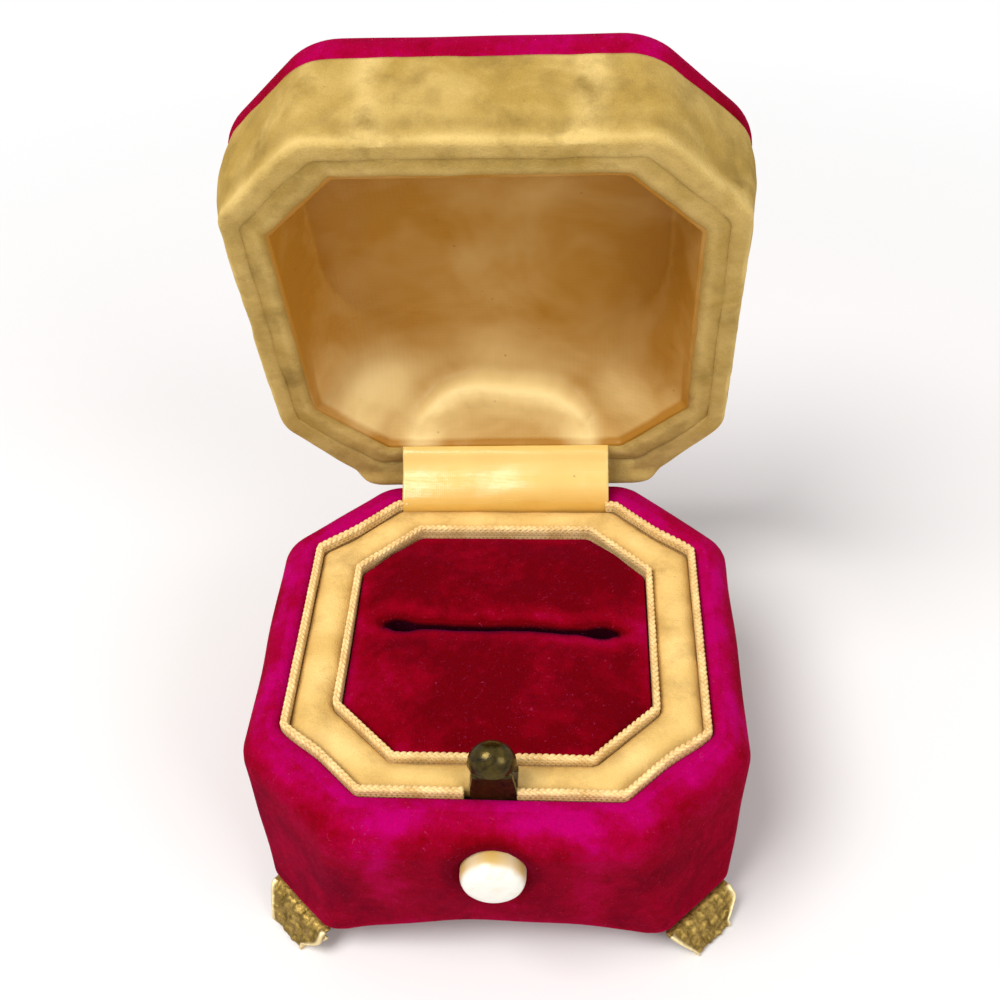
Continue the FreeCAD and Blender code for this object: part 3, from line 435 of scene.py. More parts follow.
def pearlShell():
    finish, shader = newFinish("pearlShell", roughness=0.32, specular=0.4, coat=0.3, coatRoughness=0.16)
    layers = grain(finish, 2.6, detail=3, distortion=1.2, stretch=(1.0, 1.0, 2.2))
    tone = colours(finish, layers, [(0.3, (0.80, 0.74, 0.60)), (0.7, (0.88, 0.85, 0.74)),
                                    (0.5, (0.84, 0.82, 0.75))])
    tone = blendColours(finish, painted(finish, "amber"), tone, (0.58, 0.37, 0.10))
    link(finish, tone, shader.inputs["Base Color"])
    addBumps(finish, shader, (layers, 0.02))
    return finish


def plainGrain(name, dark, bright, size, roughness, stretch=None):
    finish, shader = newFinish(name, roughness=roughness)
    lumps = grain(finish, size, detail=4, stretch=stretch)
    link(finish, colours(finish, lumps, [(0.3, dark), (0.7, bright)]), shader.inputs["Base Color"])
    addBumps(finish, shader, (lumps, 0.05))
    return finish


finishes = {
    "pink": pinkVelvet(),
    "lidVelvet": creamVelvet("lidVelvet", (0.64, 0.455, 0.165), (0.375, 0.242, 0.058),
                             (0.21, 0.132, 0.031), 0.5),
    "trayVelvet": creamVelvet("trayVelvet", (0.86, 0.59, 0.225), (0.68, 0.435, 0.135),
                              (0.36, 0.21, 0.06), 0.45),
    "lining": satinCloth("liningSatin", (0.95, 0.73, 0.32), (0.40, 0.180, 0.016), 0.42, 0.55, 0.25),
    "ribbon": satinCloth("ribbonSatin", (0.88, 0.62, 0.19), (0.66, 0.36, 0.06), 0.26, 0.25, 0.6),
    "braid": braidYarn(),
    "footBrass": metalFinish("footBrass", (0.10, 0.06, 0.010), (0.40, 0.27, 0.075), 0.42,
                             wornEdge=(0.80, 0.66, 0.36), lumps=0.8, depth=0.12),
    "darkBrass": metalFinish("darkBrass", (0.010, 0.006, 0.0012), (0.085, 0.058, 0.007), 0.16,
                             lumps=1.1, depth=0.015, metallic=0.75),
    "brass": metalFinish("hingeBrass", (0.42, 0.27, 0.07), (0.66, 0.46, 0.14), 0.28, lumps=2.0, depth=0.02),
    "pearl": pearlShell(),
    "card": plainGrain("greyCard", (0.14, 0.095, 0.05), (0.24, 0.175, 0.10), 0.8, 0.9),
    "wood": plainGrain("bassWood", (0.40, 0.24, 0.11), (0.60, 0.40, 0.21), 1.4, 0.7,
                       stretch=(1.0, 0.15, 1.0)),
    "wadding": plainGrain("whiteWadding", (0.62, 0.58, 0.50), (0.82, 0.79, 0.72), 0.9, 0.95),
    "ferrule": metalFinish("ferruleBrass", (0.05, 0.02, 0.01), (0.12, 0.06, 0.02), 0.4,
                           lumps=1.0, depth=0.02),
}
print("finishes made:", len(finishes))


def archHeight(across):
    # circle through the two ends of an arch: archRise high in the middle, 0 at archHalf
    rise, half = outline["archRise"], outline["archHalf"]
    radius = (half ** 2 + rise ** 2) / (2 * rise)
    return np.maximum(0, rise - radius + np.sqrt(np.maximum(radius ** 2 - across ** 2, 0)))


# innerRim is half width and height of the rings that go down to the tray; inside is half width, corner leg
# and height of the hidden ones that go back down to the hem
baseSkin = dict(
    underHalf=20.1, underLeg=7.5, hem=0.9, lowBend=2.6, edgeBend=5.2, rimBend=4.2, sideRows=64, bulge=0.30,
    slack=0.13, sink=0.07, rimSlack=0.10, buttonHeight=18.2, buttonSide=0.4, socket=4.3, socketDepth=0.55,
    lip=0.036,
    innerRim=((24.0, 24.34), (23.2, 24.28), (22.7, 24.12), (22.35, 23.85), (22.2, 23.4), (22.2, 22.95)),
    inside=((22.75, 8.6, 22.9), (23.1, 8.8, 23.4), (24.2, 9.5, 23.4), (25.2, 10.1, 22.7),
            (26.0, 10.7, 21.5), (26.4, 10.9, 20.5), (25.1, 6.9, 5.3), (24.5, 6.7, 4.6), (20.1, 7.5, 4.55)))


def baseVelvet():
    # rings under the hem, round the bottom edge, up the draughted side, over the shoulder as a quarter
    # circle, down to the tray and back down inside
    d, o = baseSkin, outline
    cornerDrop = 2 - np.sqrt(2)
    (bottomHalf, bottomLeg), (bellyHalf, bellyLeg), (rimHalf, rimLeg) = o["bottom"], o["belly"], o["rim"]
    hemAngle = np.radians(np.linspace(-80, -10, 5))
    side = np.linspace(0, 1, d["sideRows"])
    shoulder = np.radians(np.linspace(0, 90, 12))
    innerHalf, innerHigh = np.array(d["innerRim"]).T
    inHalf, inLeg, inHigh = np.array(d["inside"]).T
    half = np.concatenate([
        np.linspace(d["underHalf"], bottomHalf - d["hem"], 4),
        bottomHalf - d["hem"] * (1 - np.cos(hemAngle)),
        bottomHalf + (bellyHalf - bottomHalf) * side,
        [bellyHalf - 0.02],
        rimHalf + 0.1 - o["shoulder"] * (1 - np.cos(shoulder)),
        innerHalf, inHalf])
    leg = np.concatenate([
        np.linspace(d["underLeg"], bottomLeg - d["hem"] * cornerDrop, 4),
        bottomLeg - cornerDrop * d["hem"] * (1 - np.cos(hemAngle)),
        bottomLeg + (bellyLeg - bottomLeg) * side,
        [bellyLeg],
        rimLeg - cornerDrop * o["shoulder"] * (1 - np.cos(shoulder)),
        rimLeg - cornerDrop * (rimHalf - innerHalf), inLeg])
    top = np.concatenate([
        [o["bellyHeight"] + 0.3], o["rimHeight"] - o["shoulder"] * (1 - np.sin(shoulder)), innerHigh])
    bend = np.concatenate([
        np.full(9, d["lowBend"]), d["lowBend"] + (d["edgeBend"] - d["lowBend"]) * side,
        np.linspace(d["edgeBend"], d["rimBend"], 13), np.linspace(3.4, 0.9, 6), np.full(len(inHalf), 0.9)])
    # the rows of the side, and the first row of the hidden inside
    sideStart = 9
    sideEnd = sideStart + len(side)
    rows = len(half) - len(inHalf)
    level = np.arange(len(half))[:, None]
    ring, ways = octagonRings(half, leg, bend, flat=130, cut=22, turn=9)
    across = np.minimum(np.abs(ring[..., 0]), np.abs(ring[..., 1]))
    arch = archHeight(across)
    low = o["bottomHeight"] + arch
    height = np.empty(ring.shape[:2])
    lift = np.concatenate([np.zeros(4), d["hem"] * (1 + np.sin(hemAngle))])
    height[:sideStart] = low[:sideStart] + lift[:, None]
    foot = low[sideStart:sideEnd] + d["hem"]
    height[sideStart:sideEnd] = foot + side[:, None] * (o["bellyHeight"] - foot)
    height[sideEnd:rows] = top[:, None]
    height[rows:] = np.where(inHigh[:, None] < 6, inHigh[:, None] + arch[rows:], inHigh[:, None])
    # the sides keep their draught where the arch lifts the edge
    rising = o["bellyHeight"] - o["bottomHeight"]
    grow = (height[sideStart:sideEnd] - o["bottomHeight"]) / rising - side[:, None]
    ring[sideStart:sideEnd] += ways[sideStart:sideEnd] * (grow * (bellyHalf - bottomHalf))[..., None]
    grid, out = atHeight(ring, height), atHeight(ways, 0)
    flatness = np.clip(1 - np.minimum(np.abs(ring[..., 0]), np.abs(ring[..., 1])) / 15, 0, 1)
    soft = np.zeros(len(half))
    soft[sideStart:sideEnd] = np.sin(np.pi * side) ** 0.7
    grid += out * (soft[:, None] * (d["bulge"] * smooth(0, 0.8, flatness) * 0.8))[..., None]
    outer = np.zeros(len(half))
    outer[4:rows - 5] = 1
    grid += out * (outer[:, None] * d["slack"] * waves(grid, 13, 3) - outer[:, None] * d["sink"])[..., None]
    grid[..., 2] += np.where(level >= sideEnd + 3, outer[:, None], 0) * d["rimSlack"] * waves(grid, 8, 4)
    # the velvet tucks in round the push button, behind a low lip
    reach = np.hypot(grid[..., 0] - d["buttonSide"], grid[..., 2] - d["buttonHeight"])
    facingFront = grid[..., 1] < -24.5
    tuck = d["socketDepth"] * smooth(0, 1, (d["socket"] - reach) / 1.3)
    lip = d["lip"] * bell(reach - d["socket"], 0.9, 0.8)
    grid[..., 1] += np.where(facingFront & (level < rows), tuck + lip, 0)
    # painted sheen and painted shade: bright on the shoulder and the rim down to the tray, at the upright
    # edges and along the hem, where the velvet catches the light, deep on the faces, and a painted shadow
    # darkens it round the button
    z = grid[..., 2]
    atEdge = bell(np.abs(np.abs(grid[..., 0]) - np.abs(grid[..., 1])), 16.0, 2.6)
    napSheenShade = 0.24 + 0.24 * smooth(16.5, 23.0, z) + 0.30 * smooth(23.0, 24.1, z) + 0.30 * atEdge
    napSheenShade += 0.35 * smooth(1.8, 0.3, z - low)
    napSheenShade = np.where(level >= rows - 6, 0.92, napSheenShade)
    napSheenShade -= 0.5 * bell(reach, 4.2, 0.9) * facingFront
    piece = makePiece("baseVelvetSkin", [handLaid(grid)], closedRows=True, closedColumns=True,
                      values={"pile": napSheenShade})
    return dress(piece, finishes["pink"], "base", "pink_velvet", "base_velvet")


baseVelvet()
print("base velvet made")

# parts are the runs of the ring that carry braid: the outer one leaves room for the ribbon
braids = dict(
    outer=dict(
        half=21.75, leg=8.05, bend=0.6, gap=2.72, low=22.95, high=24.85, width=0.86, swing=0.22, yarn=0.2,
        pitch=2.0, parts=((0.0, 0.4165), (0.5835, 1.0)), name="outerBraid", node="outer_braid"),
    inner=dict(
        half=17.38, leg=6.90, bend=0.6, gap=0.001, low=21.9, high=24.65, width=0.8, swing=0.22, yarn=0.19,
        pitch=2.1, parts=((0.0, 1.0),), name="innerBraid", node="inner_braid"))
stitches = dict(long=0.55, high=0.42, deep=0.13, step=0.10)


def braidPiece(d):
    # two grids a run: a knitted band with rows of small stitches on both faces, and three yarns plaited
    # along its top edge. A yarn swings sideways as sin(w) and up as sin(2w), a third of a turn after its
    # neighbour.
    topRow = d["high"] - 0.40
    core = d["width"] - 2 * stitches["deep"]
    wall = np.concatenate([np.full(14, -0.5), [-0.42, 0, 0.42], np.full(14, 0.5)]) * core
    up = np.concatenate([np.linspace(d["low"], topRow, 14), np.full(3, topRow + 0.08),
                         np.linspace(topRow, d["low"], 14)])
    yarns, bands, grimeAndShade = [], [], []
    for path, out, place in evenPath(d["half"], d["leg"], d["bend"], d["gap"], stitches["step"], d["parts"]):
        halfStep = np.round(up / stitches["high"])[None] * 0.5
        stitch = np.abs(np.sin(np.pi * (place[:, None] / stitches["long"] + halfStep)))
        course = np.abs(np.sin(np.pi * up / stitches["high"]))[None]
        onFace = np.sign(wall)[None] * (np.abs(wall) > 0.45 * core)
        side = wall[None] + stitches["deep"] * np.sqrt(stitch * course + 1e-9) * onFace
        band = atHeight(path[:, None] + out[:, None] * side[..., None], up[None])
        band[..., 2] += 0.05 * waves(band, 6, 9) * (up > d["low"] + 0.5)
        bands.append(handLaid(band))
        line = atHeight(path, d["high"] - d["yarn"] - 0.08)
        line[:, 2] += 0.07 * waves(line, 7, 12)
        outward = atHeight(out, 0)
        for strand in range(3):
            turn = 2 * np.pi * (place / d["pitch"] + strand / 3)
            yarnLine = line + outward * (d["swing"] * np.sin(turn))[:, None]
            yarnLine[:, 2] += 0.12 * np.sin(2 * turn)
            yarns.append(tubeSurface(handLaid(yarnLine), d["yarn"] * (1 + 0.10 * np.sin(2 * turn))))
        # painted shade at the foot of the band and in the hollows between the stitches
        braidShade = 0.7 * bell(up - d["low"], 0.2, 0.5)[None] + 0.5 * smooth(0.5, 0.1, stitch * course)
        grimeAndShade.append(np.clip(braidShade, 0, 1).ravel())
    yarn = makePiece(d["name"] + "Yarn", yarns, closedColumns=True, caps=("first", "last"), flip=True)
    dress(yarn, finishes["braid"], "base", "gold_braid", d["node"])
    band = makePiece(d["name"] + "Band", bands, closedColumns=True, caps=("first", "last"),
                     values={"grimeAndShade": np.concatenate(grimeAndShade)})
    dress(band, finishes["braid"], "base", "gold_braid")


for braid in braids.values():
    braidPiece(braid)
print("braids made")

# gaps are the distances from the front middle at which the strip starts and ends, on either side of the catch
tray = dict(outer=(21.42, 7.97), inner=(17.70, 6.99), gaps=(2.75, 2.15), middle=19.6, edge=23.3,
            crown=24.15, low=22.9, rows=16, columns=900)


def trayVelvet():
    # a strip between the braids: each row is a ring, its height a power of a sine that sinks where it meets
    # them
    d = tray
    share = np.linspace(0, 1, d["rows"])
    rise = np.sin(np.pi * share)[:, None] ** 0.55
    paths = []
    for part in share:
        half, leg = (outer + (inner - outer) * part for outer, inner in zip(d["outer"], d["inner"]))
        ring, lengths = ringLine(half, leg, 0.6 + 0.6 * abs(half - d["middle"]), turn=20)
        place = np.linspace(d["gaps"][0], lengths[-1] - d["gaps"][1], d["columns"])
        paths.append(pointsAlong(ring, lengths, place))
    grid = atHeight(np.stack(paths), d["edge"] + (d["crown"] - d["edge"]) * rise)
    grid[..., 2] += rise * (0.10 * waves(grid, 7, 21) + 0.05 * waves(grid, 2.6, 22))
    under = grid[::-1].copy()
    under[..., 2] = d["low"]
    whole = np.concatenate([grid, under])
    # darker towards both edges, where the strip sinks against the braids: grime there and painted shade in the
    # crease; cloudy grime over the strip, and a pile tone that varies in clouds
    grimeAndShade = 0.8 * (1 - rise) ** 1.1 * (1 + 0.6 * waves(grid, 5, 23))
    grimeAndShade += 0.22 * smooth(0.2, 1.0, waves(grid, 5, 25))
    napSheenShade = 0.5 + 0.4 * waves(grid, 6, 24)
    piece = makePiece("trayVelvetStrip", [handLaid(whole).transpose(1, 0, 2)], closedColumns=True,
                      caps=("first", "last"), flip=True,
                      values={"grimeAndShade": np.clip(np.concatenate([grimeAndShade, grimeAndShade[::-1]]).T, 0, 0.9),
                              "pile": np.concatenate([napSheenShade, napSheenShade]).T})
    return dress(piece, finishes["trayVelvet"], "base", "cream_velvet", "tray_velvet")


trayVelvet()
print("tray velvet made")

pad = dict(half=16.98, leg=6.73, bend=1.3, low=21.32, top=23.35, backRise=0.45, shoulder=1.2, puff=0.60,
           slitHalf=13.5, slitBack=1.65, slitTurn=-0.035, slitDeep=4.0, lipFall=0.62, gape=0.13, endGape=0.50,
           creases=0.16, fineCreases=0.07)


def ringPad():
    # rings that start at the pad's outline, crown over the padding and shrink on to the two lips of the
    # ring slot, then go down into it; the lips touch in the middle and gape at both ends
    d = pad
    ring = octagonRings(d["half"], d["leg"], d["bend"], flat=56, cut=20, turn=7)[0][0]
    slitX = np.sign(ring[:, 0]) * d["slitHalf"] * np.minimum(1, np.abs(ring[:, 0]) / 14.5) ** 0.92
    along = np.abs(slitX) / d["slitHalf"]
    gape = d["gape"] + d["endGape"] * smooth(0.66, 0.86, along) * (1 - smooth(0.90, 1.0, along) * 0.95)
    slitY = (d["slitBack"] + d["slitTurn"] * slitX + np.clip(ring[:, 1] / 9, -1, 1) * gape
             + 0.12 * np.sin(slitX * 0.35))
    slit = np.stack([slitX, slitY], -1)
    shoulder = np.radians(np.linspace(0, 90, 9))
    inset = d["shoulder"] * (1 - np.cos(shoulder)) / d["half"]
    share = np.concatenate([[0.0], inset, inset[-1] + (1 - inset[-1]) * np.linspace(0, 1, 40)[1:] ** 0.9])
    rise = np.concatenate([[0.0], np.sin(shoulder), np.ones(39)])[:, None]
    flatGrid = ring[None] * (1 - share[:, None, None]) + slit[None] * share[:, None, None]
    toSlit = np.hypot(flatGrid[..., 1] - slitY[None], 0.55 * (flatGrid[..., 0] - slitX[None]))
    edgeTop = d["top"] + d["backRise"] * smooth(-6, 10, ring[:, 1])
    base = d["low"] + (edgeTop[None] - d["low"]) * rise
    edge = np.abs(d["half"] - np.abs(flatGrid)).min(-1)
    cushion = d["puff"] * smooth(0, 6, edge) * (0.35 + 0.65 * smooth(0, 4.2, toSlit))
    lips = d["lipFall"] * bell(toSlit, 0, 0.6)
    grid = atHeight(flatGrid, base + cushion * rise - lips * smooth(0.5, 1, share)[:, None])
    creases = d["creases"] * waves(grid, 9, 31) + d["fineCreases"] * waves(grid, 3.4, 32)
    grid[..., 2] += creases * rise * smooth(0, 3, edge)
    # four rings down inside the slot, a little narrower each time, and one under the outline
    sunk = grid[-1, :, 2][None] - d["slitDeep"] * np.array([0.15, 0.4, 0.7, 1.0])[:, None]
    middle = np.array([0, d["slitBack"]])
    narrower = np.array([0.995, 0.99, 0.985, 0.98])[:, None, None]
    down = atHeight(middle + (slit[None] - middle) * narrower, sunk)
    under = grid[:1].copy()
    under[..., :2] *= 0.98
    under[..., 2] = d["low"] - 0.02
    # painted sheen and painted shade: deep on the pad, brighter at its edge and along the lips where the
    # velvet catches the light, a little brighter towards the front left, darkest in the slot as its painted
    # shadow
    napSheenShade = 0.08 + 0.30 * smooth(2.2, 0.2, edge) + 0.26 * bell(toSlit, 1.4, 0.9)
    napSheenShade += 0.08 * smooth(-3, -13, flatGrid[..., 0]) * smooth(-1, -6, flatGrid[..., 1])
    napSheenShade -= 0.7 * bell(toSlit, 0, 0.36)
    napSheenShade = np.concatenate([napSheenShade[:1], napSheenShade, np.full((4, len(ring)), -1.0)])
    piece = makePiece("ringPadCushion", [handLaid(np.concatenate([under, grid, down]))], closedColumns=True,
                      caps=("first", "last"), values={"pile": napSheenShade})
    dress(piece, finishes["pink"], "base", "pink_velvet", "ring_pad_velvet")
    return piece


ringPad()
print("ring pad made")

button = dict(side=0.4, height=18.15, front=-29.4, radius=3.4, neck=3.1, dome=0.45, roll=1.45, rollPower=7,
              ridge=0.05, rimDepths=(2.4, 2.9, 3.3), back=3.45)


def pearlButton():
    # a profile turned about the button's axis: radius against depth, a low dome that rolls over into the side
    d = button
    part = np.sin(np.linspace(0, 1, 26) * np.pi / 2)
    radii = np.concatenate([[0.01], d["radius"] * part[1:], np.full(3, d["radius"]), [d["neck"], 0.01]])
    face = d["dome"] * part ** 2 + d["roll"] * (1 - np.sqrt(1 - part ** d["rollPower"]))
    depth = np.concatenate([face, d["rimDepths"], [d["back"], d["back"]]])
    depth += d["ridge"] * bell(radii, 2.75, 0.12)
    angle = np.linspace(0, 2 * np.pi, 96, endpoint=False)
    grid = np.stack([d["side"] + radii[:, None] * np.cos(angle), d["front"] + depth[:, None] + 0 * angle,
                     d["height"] + radii[:, None] * np.sin(angle)], -1)
    upper = smooth(-0.3, 0.5, np.sin(angle)[None])
    amber = smooth(0.6, 1.5, depth[:, None]) * upper * (0.85 + 0.15 * np.sin(5 * angle[None]))
    piece = makePiece("pearlButton", [grid], closedColumns=True, caps=("first", "last"),
                      values={"amber": amber}, flip=True)
    return dress(piece, finishes["pearl"], "button", "pearl", "button_cap")


pearlButton()

catch = dict(side=0.5, half=2.4, front=-22.3, back=-21.5, foot=11.0, top=27.9, square=0.28, domeY=-21.1,
             domeRadii=(2.5, 2.1, 2.45), skirt=0.5, domeLow=28.4, scallop=0.05)


def catchPiece():
    # a plate of rounded section, and over it a closed dome above a short skirt with faint scallops
    d = catch
    angle = np.linspace(0, 2 * np.pi, 72, endpoint=False)
    squareX, squareY = (np.sign(way) * np.abs(way) ** d["square"] for way in (np.cos(angle), np.sin(angle)))
    plateX = d["half"] * squareX
    plateY = (d["front"] + d["back"]) / 2 + (d["back"] - d["front"]) / 2 * squareY
    rows = np.concatenate([[0.0, 0.25], np.linspace(0.6, d["top"] - d["foot"], 24)]) + d["foot"]
    shrink = np.concatenate([[0.9, 0.98], 1 - 0.15 * smooth(24.5, 27.6, rows[2:])])
    plate = np.stack([plateX * shrink[:, None], plateY + 0 * rows[:, None], rows[:, None] + 0 * plateX], -1)
    turn = np.concatenate([np.linspace(0, 0.5 * np.pi, 12), np.linspace(0.5 * np.pi, np.pi, 18)[1:]])
    rx, ry, rz = d["domeRadii"]
    below = turn < 0.5 * np.pi
    wide = np.where(below, np.sin(turn) ** 0.35, np.sin(turn))
    level = np.where(below, -d["skirt"] * (1 - np.sin(turn) ** 0.5), -rz * np.cos(turn))
    dome = np.stack([rx * wide[:, None] * np.cos(angle), d["domeY"] + ry * wide[:, None] * np.sin(angle),
                     d["domeLow"] + level[:, None] + 0 * angle], -1)
    scallop = d["scallop"] * np.abs(np.sin(3.5 * angle)) * bell(turn[:, None], 1.35, 0.16)
    dome[..., 0] += scallop * np.cos(angle)
    dome[..., 1] += scallop * np.sin(angle)
    for part in (plate, dome):
        part[..., 0] += d["side"]
    piece = makePiece("catchTongue", [plate, dome], closedColumns=True, caps=("first", "last"))
    return dress(piece, finishes["darkBrass"], "catch", "dark_brass", "catch_lever")


catchPiece()
print("button and catch made")

foot = dict(middle=31.32, top=3.8, thick=0.42, splay=2.75, flange=4.3, wide=4.9, narrow=2.3, emboss=0.17,
            rolled=0.16, bow=0.75, notch=0.35)
footCorners = {"foot_front_right": -45, "foot_front_left": -135, "foot_rear_right": 45, "foot_rear_left": 135}


def footPiece(name, degrees):
    # sheet folded in a V: flange, outer plate down to the sole, inner plate back up. The middle line of the
    # sheet runs through section points (distance out from the corner, height); its half length narrows to
    # the sole and bows out at one end; the relief is a leafy lattice of crossing waves
    d = foot
    section = np.array([(-d["flange"], d["top"] - 0.25), (0.15, d["top"] - 0.25), (0.75, d["top"] - 0.55),
                        (d["splay"] - 0.2, 0.35), (d["splay"] - 0.45, 0.24), (d["splay"] - 0.8, 0.5),
                        (0.25, d["top"] - 0.9), (-1.4, d["top"] - 0.8)])
    lengths = runLengths(section)
    run = np.linspace(0, lengths[-1], 96)
    line = pointsAlong(section, lengths, run)
    line[2:-2] = evened(line, np.array([1, 2, 3, 2, 1]) / 9)
    drop = np.clip((d["top"] - line[:, 1]) / d["top"], 0, 1)
    across = np.linspace(-1, 1, 64)
    plate = line[:, 0] > 0.3
    widen = d["wide"] + (d["narrow"] - d["wide"]) * drop ** 1.15
    bowEnd = d["bow"] * bell(drop, 0.38, 0.2) * plate
    notch = d["notch"] * bell(drop, 0.75, 0.07) * plate
    reach = np.where(across[None] > 0, (widen + bowEnd - notch)[:, None], (widen - 0.1 * notch)[:, None])
    along = across[None] * reach
    along = np.where(plate[:, None], along, np.clip(along, -(5.0 + line[:, :1]), 5.0 + line[:, :1]))
    slope = wayAlong(line)
    normal = np.stack([-slope[:, 1], slope[:, 0]], -1)
    away = np.abs(across[None])
    down = run[:, None]
    lattice = np.sin(1.5 * along + 2.2 * down) * np.sin(2.6 * along - 1.7 * down + 0.8)
    fine = np.sin(5.1 * along + 3.3 * down) * np.sin(4.3 * down - 2.9 * along)
    relief = d["emboss"] * (0.65 * lattice + 0.35 * fine) * smooth(1.0, 0.82, away) * plate[:, None]
    lift = relief + d["rolled"] * smooth(0.86, 0.97, away) * plate[:, None]
    outerFace = line[:, None] + normal[:, None] * (lift + d["thick"] / 2)[..., None]
    innerFace = line[:, None] + normal[:, None] * (lift * 0.7 - d["thick"] / 2)[..., None]
    angle = np.radians(degrees)
    out = np.array([np.cos(angle), np.sin(angle)])
    side = np.array([-np.sin(angle), np.cos(angle)])

    def place(face):
        # section points set out from the box's corner, and never below the floor
        flatPart = (d["middle"] + face[..., :1]) * out + along[..., None] * side
        return atHeight(flatPart, np.maximum(face[..., 1], 0.0))

    loop = np.concatenate([place(outerFace), place(innerFace)[:, ::-1]], 1)
    edge = np.clip(smooth(0.86, 0.96, away) + 0.8 * bell(drop[:, None], 0.97, 0.05), 0, 1) * plate[:, None]
    edge = np.concatenate([edge, edge[:, ::-1]], 1)
    return makePiece(name, [loop], closedColumns=True, caps=("first", "last"), values={"edge": edge},
                     flip=True)


for footNode, degrees in footCorners.items():
    label = "".join(part.capitalize() if index else part for index, part in enumerate(footNode.split("_")))
    dress(footPiece(label, degrees), finishes["footBrass"], "base", "brass", footNode)
print("feet made")

# creaseRings and collarRings are half width and height of each ring, insideRings half width, corner leg and
# height, all in the order of the rows
lid = dict(side=(27.35, 9.6), crown=(28.15, 10.6), rim=25.2, turnIn=0.75, top=35.8, peak=41.25,
           mouth=(22.6, 7.9), crease=25.15, hang=2.4, sag=0.9,
           creaseRings=((26.3, 24.44), (26.0, 24.43), (25.7, 24.43), (25.45, 24.44), (25.28, 24.47),
                        (25.2, 24.52)),
           insideRings=((25.1, 8.9, 24.75), (25.2, 9.0, 25.6), (26.0, 9.2, 26.2), (26.4, 9.4, 27.2),
                        (26.6, 9.5, 30.0)),
           collarRings=((22.6, 26.3), (22.6, 27.0), (22.6, 27.7), (22.95, 27.74), (22.95, 26.9),
                        (24.2, 26.3)))


def lidRings(half, leg, high, bend, turn=9):
    # octagon rings of the lid at their heights, with their way out
    ring, ways = octagonRings(half, leg, bend, flat=60, cut=22, turn=turn)
    return atHeight(ring, high), atHeight(ways, 0)


def lidSideVelvet():
    # profile rows: from under the crown down the bulging side, over the rim and into the crease, then back
    # inside
    d = lid
    side = np.linspace(1, 0, 34)
    cornerAngle = np.radians(np.linspace(0, 90, 8))
    rimHalf, rimLeg = d["side"]
    creaseHalf, creaseHigh = np.array(d["creaseRings"]).T
    inHalf, inLeg, inHigh = np.array([*d["insideRings"], (26.6, 9.6, d["top"] - 1)]).T
    rimBand = np.concatenate([rimHalf - d["turnIn"] * (1 - np.cos(cornerAngle)), creaseHalf])
    under, lowest = d["top"] + 0.1, d["rim"] + 0.1
    half = np.concatenate([
        [26.2], rimHalf + (d["crown"][0] - rimHalf) * side + 0.45 * np.sin(np.pi * side),
        rimBand, inHalf])[:, None]
    leg = np.concatenate([
        [10.2], rimLeg + (d["crown"][1] - rimLeg) * side, rimLeg - 0.35 * (rimHalf - rimBand), inLeg])
    high = np.concatenate([
        [under], lowest + (under - lowest) * side, d["rim"] - d["turnIn"] * np.sin(cornerAngle),
        creaseHigh, inHigh])[:, None]
    bend = np.concatenate([[5.0], 4.0 + 3.2 * side, np.linspace(4.0, 1.8, 14), np.full(6, 1.2)])
    grid, out = lidRings(half[:, 0], leg, high, bend)
    cornerness = bell(np.abs(np.abs(grid[..., 0]) - np.abs(grid[..., 1])), 17.2, 1.5)
    outer = np.concatenate([[0], np.ones(48), np.zeros(6)])[:, None]
    soft = np.concatenate([[0], np.sin(np.pi * side), np.zeros(20)])[:, None]
    # the velvet hangs fuller towards the hinge, most of all along the rim
    hang = outer * smooth(34, 26, high) * smooth(15, 26, grid[..., 1])
    grid[..., 1] += d["hang"] * hang
    grid[..., 2] -= d["sag"] * hang * smooth(27.3, 29.0, grid[..., 1])
    grid += out * (outer * (0.09 * waves(grid, 11, 41) + 0.04 * waves(grid, 3.5, 42)) - 0.10 * soft
                   + 0.20 * cornerness * soft)[..., None]
    lower = np.concatenate([np.zeros(21), np.linspace(0, 1, 14), np.ones(14), np.zeros(6)])[:, None]
    grid[..., 2] += lower * 0.08 * waves(grid, 8, 43)
    # paler at the corners of the side and along the rim; darker in a band low on the side, with painted shade
    # in the crease and inside it, and cloudy grime higher up
    napSheenShade = 0.20 + 0.7 * cornerness * (half > 26.9) + 0.6 * bell(high, 25.0, 0.6)
    grimeAndShade = 0.30 * bell(high, 26.9, 0.8) + 0.15 * smooth(25.7, 25.2, half)
    grimeAndShade = grimeAndShade + 0.30 * smooth(0.0, 1.0, waves(grid, 4, 44)) * (high > 26)
    piece = makePiece("lidSideVelvet", [swingOpen(grid)], closedRows=True, closedColumns=True,
                      values={"pile": napSheenShade, "grimeAndShade": np.clip(grimeAndShade, 0, 0.85)}, flip=True)
    return dress(piece, finishes["lidVelvet"], "lid", "cream_velvet", "lid_side_velvet")


